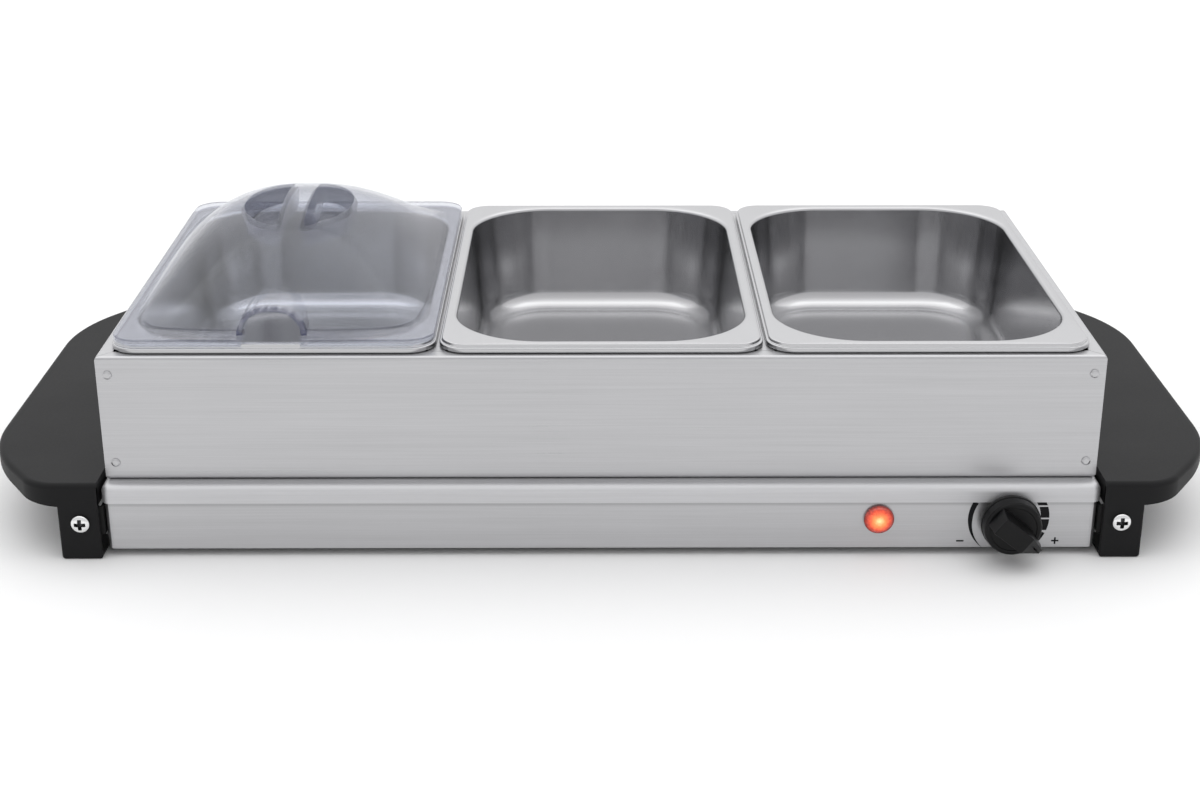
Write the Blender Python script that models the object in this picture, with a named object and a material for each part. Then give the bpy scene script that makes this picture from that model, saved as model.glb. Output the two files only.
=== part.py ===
"""Countertop buffet warmer with three lift-out pans and one clear lid.

Metres, +Z up, the front faces -Y. The origin is the centre of the bounding box
at the height of the surface that the legs stand on. Every object is one solid
piece of the real thing, named as a person would name it.
"""
import math

import bmesh
import bpy
from mathutils import Matrix, Vector

MM = 0.001
GAP = 0.3 * MM
HAIR = 0.001 * MM

# Base: the pressed warming plate and the casing under it.
PLATE_HALF_X = 267 * MM
PLATE_HALF_Y = 147 * MM
PLATE_TOP = 41.5 * MM
PLATE_SKIRT_BOTTOM = 31.5 * MM
PLATE_BEND = 3 * MM
PLATE_CORNER = 5 * MM
SHEET = 1 * MM
CASING_BOTTOM = 4.5 * MM
CASING_SETBACK = 1.3 * MM
CASING_FLANGE = 10 * MM
COVER_INSET = 3 * MM
POST_X = 243 * MM
POST_Y = 123 * MM
POST_RADIUS = 4 * MM
POST_HOLE_RADIUS = 2 * MM
POST_HOLE_DEPTH = 14 * MM
COVER_SCREW_RADIUS = 1.7 * MM
COVER_SCREW_HEAD = 3.2 * MM
COVER_SCREW_REACH = 10 * MM
VENT_HALF_X = 22 * MM
VENT_HALF_Y = 2.5 * MM
VENT_COLUMNS = (-140 * MM, 0, 140 * MM)
VENT_ROWS = (-60 * MM, -45 * MM, 45 * MM, 60 * MM)

# Pan frame: four folded panels and two dividers.
FRAME_HALF_X = 265 * MM
FRAME_HALF_Y = 135.5 * MM
FRAME_OFFSET_Y = -2 * MM
FRAME_HEIGHT = 69.7 * MM
FRAME_FLANGE = 8 * MM
FRAME_FOOT_FLANGE = 8 * MM
FRAME_BEND = 1.8 * MM
END_TAB_WIDTH = 13 * MM
DIVIDER_WIDTH = 9 * MM
DIVIDER_HEIGHT = 8 * MM
DIVIDER_TAB = 7 * MM
RIVET_X = 259 * MM
RIVET_DROPS = (10 * MM, 60 * MM)
RIVET_HEAD_RADIUS = 2.35 * MM
RIVET_SHANK_RADIUS = 1.6 * MM
RIVET_HEAD_HEIGHT = 1 * MM

# Pans: the opening, and the rim around it.
PAN_PITCH = 173.4 * MM
PAN_HALF_X = 79 * MM
PAN_HALF_Y = 124.5 * MM
PAN_CORNER = 47 * MM
PAN_RIM_CORNER = 15 * MM
PAN_DEPTH = 65 * MM
PAN_RIM_HEIGHT = 4.6 * MM
PAN_DRAFT = 5 * MM
PAN_FLOOR_FILLET = 12 * MM
PAN_WALL = 0.8 * MM

# Lid: a stepped rim and a pillow-shaped dome.
LID_HALF_X = 85.2 * MM
LID_HALF_Y = 130.7 * MM
LID_RIM_TOP = 7.4 * MM
LID_LIP_BOTTOM = 3.4 * MM
LID_WALL = 2 * MM
LIP_WALL = 0.6 * MM
DOME_HALF_X = 79.3 * MM
DOME_HALF_Y = 116.5 * MM
DOME_CORNER = 38 * MM
DOME_HEIGHT = 41.4 * MM
DOME_POWER_X = 2.5
DOME_POWER_Y = 2.0
DOME_FOOT = 0.06
DOME_STEPS = 9
POCKET_HALF_X = 31 * MM
POCKET_HALF_Y = 43 * MM
POCKET_DEPTH = 15 * MM
POCKET_OFFSET_Y = -3 * MM
GRIP_HALF_WIDTH = 7.5 * MM
NOTCH_HALF_WIDTH = 15.5 * MM
NOTCH_TOP = 20.5 * MM
NOTCH_CORNER = 13 * MM
NOTCH_RIM = 3 * MM
NOTCH_RIM_SETBACK = 4.5 * MM
NOTCH_LENGTH = 40 * MM

# Handles: a moulded shell with a grip plate and two legs each.
HANDLE_INNER_X = 268 * MM
HANDLE_OUTER_X = 338.5 * MM
HANDLE_HALF_Y = 149.8 * MM
HANDLE_SHOULDER_X = 302.4 * MM
HANDLE_SHOULDER_Y = 98.7 * MM
HANDLE_CORNER = 24 * MM
HANDLE_SWEEP = 100 * MM
HANDLE_TOP = 44 * MM
HANDLE_EDGE = 3 * MM
HANDLE_LIP_BOTTOM = 30.9 * MM
HANDLE_TIP_BOTTOM = 35.5 * MM
HANDLE_WALL = 2.8 * MM
LEG_OUTER_X = 289.8 * MM
LEG_DEPTH = 26 * MM
LEG_CORNER = 1.5 * MM
SCREW_X = 277.8 * MM
SCREW_RADIUS = 2.5 * MM
SCREW_HEAD_RADIUS = 5 * MM
BRACKET_STRIP = 1.5 * MM
BRACKET_TAB = 2 * MM
BRACKET_HALF_HEIGHT = 8 * MM
CONTROL_HEIGHT = 21.5 * MM

# Controls on the front of the casing.
DIAL_X = 218.4 * MM
LAMP_X = 148.7 * MM
POINTER_REST_DEG = -38
KNOB_BACK_Y = -150 * MM
KNOB_DISC = 10 * MM
KNOB_BACK_RADIUS = 16.2 * MM
KNOB_FACE_RADIUS = 15.2 * MM
KNOB_GRIP = 12 * MM
KNOB_EDGE = 0.8 * MM
KNOB_STEPS = 28
SHAFT_RADIUS = 3 * MM
SHAFT_BACK_Y = -130 * MM
NUT_RADIUS = 8 * MM
NECK_RADIUS = 4.7 * MM
LENS_RADIUS = 8.15 * MM
LENS_STEPS = 24
LAMP_RADIUS = 6 * MM
LAMP_RING_RADIUS = 8.5 * MM

# Heater and wiring inside the base.
ELEMENT_RADIUS = 3.2 * MM
ELEMENT_HEIGHT = 37 * MM
ELEMENT_TURN = 25 * MM
ELEMENT_REACH = 185 * MM
ELEMENT_END_X = 233 * MM
STRAP_THICKNESS = 0.8 * MM
STRAP_REACH = 31 * MM
STRAP_TAB = 8 * MM
STRAP_HALF_WIDTH = 6 * MM
STRAP_COLUMNS = (-110 * MM, 110 * MM)
SHIELD_HALF_X = 222 * MM
SHIELD_HALF_Y = 96 * MM
SHIELD_TOP = 25 * MM
SHIELD_THICKNESS = 0.8 * MM
WIRE_RADIUS = 1.2 * MM
GLAND_X = 200 * MM
GLAND_Z = 19 * MM
GLAND_TIP_Y = 158 * MM
GLAND_HOLE_RADIUS = 6.3 * MM
CORD_RADIUS = 3.5 * MM
BLOCK_X = 140 * MM
BLOCK_Y = 121 * MM
BLOCK_HALF_X = 18 * MM
BLOCK_HALF_Y = 9 * MM
BLOCK_HEIGHT = 15 * MM

# The knob reaches further forward than the gland reaches back.
KNOB_TIP_Y = KNOB_BACK_Y - KNOB_DISC - KNOB_GRIP
CENTRE_Y = -(KNOB_TIP_Y + GLAND_TIP_Y) / 2

FRAME_BOTTOM = PLATE_TOP + GAP
FRAME_TOP = FRAME_BOTTOM + FRAME_HEIGHT
PAN_BASE = FRAME_TOP + GAP
FRAME_FRONT = FRAME_OFFSET_Y - FRAME_HALF_Y
CASING_HALF_X = PLATE_HALF_X - CASING_SETBACK
CASING_HALF_Y = PLATE_HALF_Y - CASING_SETBACK
CASING_FRONT = -CASING_HALF_Y

CORNER_STEPS = 4
ROUND_STEPS = 20
SMALL_ROUND_STEPS = 10
SMOOTH_ANGLE = math.radians(35)
QUARTERS = ((1, 1), (-1, 1), (-1, -1), (1, -1))

# Finish: colour, roughness, metallic.
BRUSHED = ((0.62, 0.62, 0.64), 0.34, 1.0)
PAN_STEEL = ((0.70, 0.70, 0.72), 0.22, 1.0)
BLACK = ((0.045, 0.045, 0.048), 0.5, 0.0)
CLEAR = ((0.86, 0.88, 0.93), 0.06, 0.0)
CHROME = ((0.8, 0.8, 0.8), 0.12, 1.0)
ALUMINIUM = ((0.66, 0.67, 0.68), 0.4, 1.0)
DARK_STEEL = ((0.2, 0.2, 0.21), 0.55, 1.0)
BLACK_STEEL = ((0.05, 0.05, 0.052), 0.45, 0.6)
BRASS = ((0.72, 0.56, 0.26), 0.35, 1.0)
CERAMIC = ((0.8, 0.78, 0.72), 0.6, 0.0)
LENS_RED = ((0.75, 0.1, 0.05), 0.1, 0.0)
WHITE_PLASTIC = ((0.78, 0.77, 0.74), 0.5, 0.0)
BROWN_SLEEVE = ((0.25, 0.12, 0.06), 0.5, 0.0)
GREY_SLEEVE = ((0.6, 0.6, 0.6), 0.5, 0.0)
BLUE_SLEEVE = ((0.1, 0.2, 0.5), 0.5, 0.0)
RED_SLEEVE = ((0.5, 0.06, 0.05), 0.5, 0.0)
GREEN_SLEEVE = ((0.2, 0.5, 0.12), 0.5, 0.0)


def clear_scene():
    """Remove whatever the file holds."""
    for item in list(bpy.data.objects):
        bpy.data.objects.remove(item, do_unlink=True)


def finish(item, look):
    """Give an object a Principled material of its own."""
    colour, roughness, metallic = look
    material = bpy.data.materials.new(item.name + "_finish")
    material.use_nodes = True
    shader = material.node_tree.nodes["Principled BSDF"]
    shader.inputs["Base Color"].default_value = (*colour, 1.0)
    shader.inputs["Roughness"].default_value = roughness
    shader.inputs["Metallic"].default_value = metallic
    item.data.materials.clear()
    item.data.materials.append(material)
    return item


def object_from(name, vertices, faces):
    """A mesh object from points and faces, with its faces turned outwards."""
    mesh = bpy.data.meshes.new(name)
    build = bmesh.new()
    points = [build.verts.new(point) for point in vertices]
    for face in faces:
        build.faces.new([points[index] for index in face])
    bmesh.ops.recalc_face_normals(build, faces=build.faces)
    build.to_mesh(mesh)
    build.free()
    item = bpy.data.objects.new(name, mesh)
    bpy.context.collection.objects.link(item)
    return item


def smooth(item):
    """Shade rounded faces smooth and keep the sharp edges."""
    item.data.shade_smooth()
    item.data.set_sharp_from_angle(angle=SMOOTH_ANGLE)
    return item


def loft(name, rings, closed=False):
    """Join rings of equal length; cap both ends, or close the loop of rings."""
    size = len(rings[0])
    vertices = [point for ring in rings for point in ring]
    faces = []
    spans = len(rings) if closed else len(rings) - 1
    for row in range(spans):
        upper = ((row + 1) % len(rings)) * size
        for column in range(size):
            after = (column + 1) % size
            faces.append((row * size + column, row * size + after, upper + after, upper + column))
    if not closed:
        faces.append(tuple(range(size)))
        faces.append(tuple(range((len(rings) - 1) * size, len(rings) * size)))
    return object_from(name, vertices, faces)


def ring(half_x, half_y, radius, height, centre=(0, 0), steps=CORNER_STEPS):
    """A rounded rectangle of points at one height."""
    points = []
    for quarter, (sign_x, sign_y) in enumerate(QUARTERS):
        for step in range(steps + 1):
            angle = (quarter + step / steps) * math.pi / 2
            x = centre[0] + sign_x * (half_x - radius) + radius * math.cos(angle)
            y = centre[1] + sign_y * (half_y - radius) + radius * math.sin(angle)
            points.append((x, y, height))
    return points


def box(name, low, high):
    """A plain block between two corners."""
    vertices = [(x, y, z) for z in (low[2], high[2]) for y in (low[1], high[1]) for x in (low[0], high[0])]
    faces = [(0, 2, 3, 1), (4, 5, 7, 6), (0, 1, 5, 4), (2, 6, 7, 3), (0, 4, 6, 2), (1, 3, 7, 5)]
    return object_from(name, vertices, faces)


def prism(name, outline, start, end, axis="Z"):
    """Extrude a flat outline along one axis."""
    place = {
        "X": lambda point, depth: (depth, point[0], point[1]),
        "Y": lambda point, depth: (point[0], depth, point[1]),
        "Z": lambda point, depth: (point[0], point[1], depth),
    }[axis]
    return loft(name, [[place(point, depth) for point in outline] for depth in (start, end)])


def turned(name, profile, centre, steps=ROUND_STEPS):
    """Turn (radius, depth) pairs about a line along Y through centre (x, z)."""
    rings = []
    for radius, depth in profile:
        circle = arc(centre, radius, 0, 360, steps)[:-1]
        rings.append([(across, depth, up) for across, up in circle])
    return loft(name, rings)


def turned_upright(name, profile, centre, steps=ROUND_STEPS):
    """Turn (radius, height) pairs about a vertical line through centre (x, y)."""
    rings = []
    for radius, height in profile:
        circle = arc(centre, radius, 0, 360, steps)[:-1]
        rings.append([(x, y, height) for x, y in circle])
    return loft(name, rings)


def carve(item, tool, operation="DIFFERENCE"):
    """Apply a Boolean with a tool object and remove the tool."""
    modifier = item.modifiers.new("carve", "BOOLEAN")
    modifier.operation = operation
    modifier.object = tool
    modifier.solver = "EXACT"
    bpy.context.view_layer.update()
    evaluated = item.evaluated_get(bpy.context.evaluated_depsgraph_get())
    result = bpy.data.meshes.new_from_object(evaluated)
    item.modifiers.clear()
    item.data = result
    item.data.name = item.name
    bpy.data.objects.remove(tool, do_unlink=True)
    return item


def arc(centre, radius, start_deg, end_deg, steps):
    """Points along an arc in a plane, from one angle to the other."""
    points = []
    for step in range(steps + 1):
        angle = math.radians(start_deg + (end_deg - start_deg) * step / steps)
        points.append((centre[0] + radius * math.cos(angle), centre[1] + radius * math.sin(angle)))
    return points


def rounded_corner(before, corner, after, radius, steps):
    """Replace a corner of an outline by an arc tangent to both of its sides."""
    corner = Vector(corner)
    to_before = (Vector(before) - corner).normalized()
    to_after = (Vector(after) - corner).normalized()
    half_angle = to_before.angle(to_after) / 2
    bisector = (to_before + to_after).normalized()
    centre = corner + bisector * (radius / math.sin(half_angle))
    reach = radius / math.tan(half_angle)
    start = corner + to_before * reach - centre
    end = corner + to_after * reach - centre
    turn = start.angle_signed(end)
    points = []
    for step in range(steps + 1):
        rotated = start.copy()
        rotated.rotate(Matrix.Rotation(-turn * step / steps, 2))
        points.append(tuple(centre + rotated))
    return points


def through(points, per_span):
    """A Catmull-Rom curve through points, as a list of positions."""
    guide = [Vector(point) for point in points]
    guide = [guide[0] * 2 - guide[1]] + guide + [guide[-1] * 2 - guide[-2]]
    path = []
    for index in range(1, len(guide) - 2):
        p0, p1, p2, p3 = guide[index - 1:index + 3]
        for step in range(per_span):
            t = step / per_span
            blend = 2 * p1 + (p2 - p0) * t + (2 * p0 - 5 * p1 + 4 * p2 - p3) * t ** 2
            blend += (3 * p1 - p0 - 3 * p2 + p3) * t ** 3
            path.append(blend / 2)
    path.append(guide[-2])
    return path


def tube(name, path, radius):
    """A round bar or wire along a list of positions."""
    curve = bpy.data.curves.new(name, "CURVE")
    curve.dimensions = "3D"
    curve.bevel_depth = radius
    curve.bevel_resolution = 2
    curve.use_fill_caps = True
    spline = curve.splines.new("POLY")
    spline.points.add(len(path) - 1)
    for point, position in zip(spline.points, path):
        point.co = (*position, 1.0)
    item = bpy.data.objects.new(name, curve)
    bpy.context.collection.objects.link(item)
    return item


def bend_rings(half_x, half_y, corner, top, bend, steps=3):
    """Rings that round the top edge of a pressed sheet."""
    rings = []
    for step in range(steps + 1):
        angle = math.pi / 2 * step / steps
        inset = bend * (1 - math.sin(angle))
        drop = bend * (1 - math.cos(angle))
        rings.append(ring(half_x - inset, half_y - inset, max(corner - inset, SHEET), top - drop))
    return rings


def warming_plate():
    """Pressed steel plate with a short skirt and four welded posts underneath."""
    outer = bend_rings(PLATE_HALF_X, PLATE_HALF_Y, PLATE_CORNER, PLATE_TOP, PLATE_BEND)
    outer.append(ring(PLATE_HALF_X, PLATE_HALF_Y, PLATE_CORNER, PLATE_SKIRT_BOTTOM))
    inner_x = PLATE_HALF_X - SHEET
    inner_y = PLATE_HALF_Y - SHEET
    inner_corner = PLATE_CORNER - SHEET
    inner = bend_rings(inner_x, inner_y, inner_corner, PLATE_TOP - SHEET, PLATE_BEND - SHEET)
    inner.append(ring(inner_x, inner_y, inner_corner, PLATE_SKIRT_BOTTOM))
    plate = loft("warming_plate", outer + inner[::-1])
    for sign_x, sign_y in QUARTERS:
        centre = (sign_x * POST_X, sign_y * POST_Y)
        foot = CASING_BOTTOM + GAP
        post = [(POST_RADIUS, PLATE_TOP - SHEET / 2), (POST_RADIUS, foot)]
        carve(plate, turned_upright("post", post, centre, SMALL_ROUND_STEPS), "UNION")
        hole = [(POST_HOLE_RADIUS, foot + POST_HOLE_DEPTH), (POST_HOLE_RADIUS, foot - SHEET)]
        carve(plate, turned_upright("hole", hole, centre, SMALL_ROUND_STEPS))
    return finish(smooth(plate), BRUSHED)


def base_shell():
    """Casing wall with an inward flange at its foot and holes for the controls."""
    corner = PLATE_CORNER - CASING_SETBACK
    top = PLATE_TOP - SHEET - GAP
    flange_x = CASING_HALF_X - CASING_FLANGE
    flange_y = CASING_HALF_Y - CASING_FLANGE
    inner_x = CASING_HALF_X - SHEET
    inner_y = CASING_HALF_Y - SHEET
    rings = [
        ring(inner_x - PLATE_BEND, inner_y - PLATE_BEND, SHEET, top),
        ring(CASING_HALF_X - PLATE_BEND, CASING_HALF_Y - PLATE_BEND, SHEET, top),
        ring(CASING_HALF_X, CASING_HALF_Y, corner, top - PLATE_BEND),
        ring(CASING_HALF_X, CASING_HALF_Y, corner, CASING_BOTTOM),
        ring(flange_x, flange_y, corner, CASING_BOTTOM),
        ring(flange_x, flange_y, corner, CASING_BOTTOM + SHEET),
        ring(inner_x, inner_y, corner - SHEET, CASING_BOTTOM + SHEET),
        ring(inner_x, inner_y, corner - SHEET, top - PLATE_BEND),
    ]
    shell = loft("base_shell", rings, closed=True)
    front_cuts = ((DIAL_X, NECK_RADIUS + GAP), (LAMP_X, LAMP_RADIUS + GAP))
    for x, radius in front_cuts:
        cut = [(radius, CASING_FRONT - SHEET), (radius, CASING_FRONT + 2 * SHEET)]
        carve(shell, turned("cut", cut, (x, CONTROL_HEIGHT)))
    gland_cut = [(GLAND_HOLE_RADIUS, CASING_HALF_Y + SHEET), (GLAND_HOLE_RADIUS, CASING_HALF_Y - 2 * SHEET)]
    carve(shell, turned("cut", gland_cut, (GLAND_X, GLAND_Z)))
    return finish(smooth(shell), BRUSHED)


def bottom_cover():
    """Flat sheet that closes the casing from below, with rows of vent slots."""
    top = CASING_BOTTOM - GAP
    half_x = CASING_HALF_X - COVER_INSET
    half_y = CASING_HALF_Y - COVER_INSET
    sheet = [ring(half_x, half_y, PLATE_CORNER, level) for level in (top, top - SHEET)]
    cover = loft("bottom_cover", sheet)
    levels = (top + SHEET, top - 2 * SHEET)
    for x in VENT_COLUMNS:
        for y in VENT_ROWS:
            corner = VENT_HALF_Y - HAIR
            slot = [ring(VENT_HALF_X, VENT_HALF_Y, corner, level, (x, y), 2) for level in levels]
            carve(cover, loft("slot", slot))
    for sign_x, sign_y in QUARTERS:
        centre = (sign_x * POST_X, sign_y * POST_Y)
        hole = [(COVER_SCREW_RADIUS + GAP, level) for level in levels]
        carve(cover, turned_upright("hole", hole, centre, SMALL_ROUND_STEPS))
    return finish(cover, DARK_STEEL)


def cover_screws():
    """Four pan-head screws that pull the cover up to the plate's posts."""
    seat = CASING_BOTTOM - 2 * GAP - SHEET
    tip = CASING_BOTTOM + COVER_SCREW_REACH
    shank = COVER_SCREW_RADIUS
    head = COVER_SCREW_HEAD
    profile = [(0.8 * shank, tip), (shank, tip - SHEET), (shank, seat), (head, seat),
               (head, seat - SHEET), (0.7 * head, seat - 1.8 * SHEET)]
    for number, (sign_x, sign_y) in enumerate(QUARTERS, 1):
        centre = (sign_x * POST_X, sign_y * POST_Y)
        screw = turned_upright(f"cover_screw_{number}", profile, centre, SMALL_ROUND_STEPS)
        finish(smooth(screw), CHROME)


def element_path():
    """Four runs joined by three half turns, with straight cold ends."""
    path = [(ELEMENT_END_X, -3 * ELEMENT_TURN)]
    for index, side in enumerate((-1, 1, -1)):
        centre_y = (index - 1) * 2 * ELEMENT_TURN
        start, end = (-90, -270) if side < 0 else (-90, 90)
        path += arc((side * ELEMENT_REACH, centre_y), ELEMENT_TURN, start, end, 8)
    path.append((ELEMENT_END_X, 3 * ELEMENT_TURN))
    return [(x, y, ELEMENT_HEIGHT) for x, y in path]


def heating_element():
    """Sheathed tubular element under the warming plate."""
    return finish(tube("heating_element", element_path(), ELEMENT_RADIUS), DARK_STEEL)


def element_clamps():
    """Four sheet straps that hold the element's runs up to the plate."""
    ceiling = PLATE_TOP - SHEET - GAP
    floor = ELEMENT_HEIGHT - ELEMENT_RADIUS - GAP
    strap = STRAP_THICKNESS
    reach = STRAP_REACH
    tab = STRAP_TAB
    section = [
        (-reach - tab, ceiling), (-reach, ceiling), (-reach, floor), (reach, floor),
        (reach, ceiling), (reach + tab, ceiling), (reach + tab, ceiling - strap),
        (reach + strap, ceiling - strap), (reach + strap, floor - strap),
        (-reach - strap, floor - strap), (-reach - strap, ceiling - strap), (-reach - tab, ceiling - strap),
    ]
    number = 1
    for x in STRAP_COLUMNS:
        for centre_y in (-2 * ELEMENT_TURN, 2 * ELEMENT_TURN):
            outline = [(y + centre_y, z) for y, z in section]
            ends = (x - STRAP_HALF_WIDTH, x + STRAP_HALF_WIDTH)
            finish(prism(f"element_clamp_{number}", outline, *ends, "X"), BRUSHED)
            number += 1


def reflector_plate():
    """Heat shield under the element, standing on its folded edges."""
    outer = SHIELD_HALF_Y
    top = SHIELD_TOP
    foot = CASING_BOTTOM + GAP
    inner = outer - SHIELD_THICKNESS
    ceiling = top - SHIELD_THICKNESS
    section = [(-outer, foot), (-outer, top), (outer, top), (outer, foot),
               (inner, foot), (inner, ceiling), (-inner, ceiling), (-inner, foot)]
    shield = prism("reflector_plate", section, -SHIELD_HALF_X, SHIELD_HALF_X, "X")
    return finish(shield, ALUMINIUM)


def thermostat():
    """Bimetal thermostat block with its neck through the casing, and the nut on it."""
    back = -114 * MM
    front = CASING_FRONT + SHEET + GAP
    body = box("thermostat_body", (DIAL_X - 16 * MM, front, CONTROL_HEIGHT - 11 * MM),
               (DIAL_X + 16 * MM, back, CONTROL_HEIGHT + 11 * MM))
    centre = (DIAL_X, CONTROL_HEIGHT)
    neck_tip = KNOB_BACK_Y + KNOB_EDGE
    neck = [(NECK_RADIUS, neck_tip), (NECK_RADIUS, front + SHEET)]
    carve(body, turned("neck", neck, centre), "UNION")
    bore = [(SHAFT_RADIUS + GAP, neck_tip - SHEET), (SHAFT_RADIUS + GAP, SHAFT_BACK_Y + GAP)]
    carve(body, turned("bore", bore, centre))
    finish(body, CERAMIC)
    nut_profile = [(NUT_RADIUS, CASING_FRONT - GAP), (NUT_RADIUS, neck_tip + GAP)]
    nut = turned("thermostat_nut", nut_profile, centre, steps=6)
    thread = [(NECK_RADIUS + GAP, CASING_FRONT + SHEET), (NECK_RADIUS + GAP, neck_tip - SHEET)]
    carve(nut, turned("bore", thread, centre))
    finish(nut, BRASS)


def control_knob():
    """Round knob with a raised grip that narrows to a pointer, and its shaft."""
    face = KNOB_BACK_Y - KNOB_DISC
    edge = KNOB_EDGE
    profile = [(KNOB_BACK_RADIUS, KNOB_BACK_Y), (KNOB_FACE_RADIUS + edge, face + 2 * edge),
               (KNOB_FACE_RADIUS, face + edge / 2), (KNOB_FACE_RADIUS - edge, face)]
    knob = turned("control_knob", profile, (0, 0), steps=KNOB_STEPS)
    root = face + 3 * MM
    crest = face - KNOB_GRIP
    nose = face - 4 * MM
    vertices = [
        (-13, root, 6), (7, root, 6), (18.4, root, 1.7),
        (18.4, root, -1.7), (7, root, -6), (-13, root, -6),
        (-12.2, crest, 5.2), (6.5, crest, 5.2), (18, nose, 1.4),
        (18, nose, -1.4), (6.5, crest, -5.2), (-12.2, crest, -5.2),
    ]
    vertices = [(x * MM, y, z * MM) for x, y, z in vertices]
    faces = [
        (0, 1, 2, 3, 4, 5), (0, 1, 7, 6), (1, 2, 8, 7), (2, 3, 9, 8), (3, 4, 10, 9),
        (4, 5, 11, 10), (5, 0, 6, 11), (6, 7, 10, 11), (7, 8, 9, 10),
    ]
    carve(knob, object_from("grip", vertices, faces), "UNION")
    bore_end = face + SHEET
    bore = [(SHAFT_RADIUS + GAP, KNOB_BACK_Y + SHEET), (SHAFT_RADIUS + GAP, bore_end)]
    carve(knob, turned("bore", bore, (0, 0)))
    turn = Matrix.Rotation(-math.radians(POINTER_REST_DEG), 4, "Y")
    knob.data.transform(turn)
    knob.location = (DIAL_X, 0, CONTROL_HEIGHT)
    finish(smooth(knob), BLACK)
    rod = [(SHAFT_RADIUS, SHAFT_BACK_Y), (SHAFT_RADIUS, bore_end + GAP)]
    shaft = turned("thermostat_shaft", rod, (0, 0), SMALL_ROUND_STEPS)
    shaft.location = (DIAL_X, 0, CONTROL_HEIGHT)
    finish(smooth(shaft), ALUMINIUM)


def pilot_lamp():
    """Domed lens on the panel, the lamp body behind it and its fixing ring."""
    centre = (LAMP_X, CONTROL_HEIGHT)
    seat = CASING_FRONT - GAP
    lens_profile = [(LENS_RADIUS, seat), (LENS_RADIUS, seat - 1.2 * MM), (7.4 * MM, seat - 1.8 * MM),
                    (6.2 * MM, seat - 2.6 * MM), (4 * MM, seat - 3.3 * MM), (1.2 * MM, seat - 3.7 * MM)]
    lens = turned("indicator_lens", lens_profile, centre, steps=LENS_STEPS)
    finish(smooth(lens), LENS_RED)
    body_profile = [(LAMP_RADIUS, CASING_FRONT), (LAMP_RADIUS, -122 * MM), (4.5 * MM, -119 * MM)]
    finish(smooth(turned("indicator_body", body_profile, centre)), WHITE_PLASTIC)
    ring_front = CASING_FRONT + SHEET + GAP
    collar = [(LAMP_RING_RADIUS, ring_front), (LAMP_RING_RADIUS, ring_front + 3 * MM)]
    fixing = turned("indicator_ring", collar, centre)
    bore = [(LAMP_RADIUS + GAP, ring_front - SHEET), (LAMP_RADIUS + GAP, ring_front + 4 * MM)]
    carve(fixing, turned("bore", bore, centre))
    finish(smooth(fixing), WHITE_PLASTIC)


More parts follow.
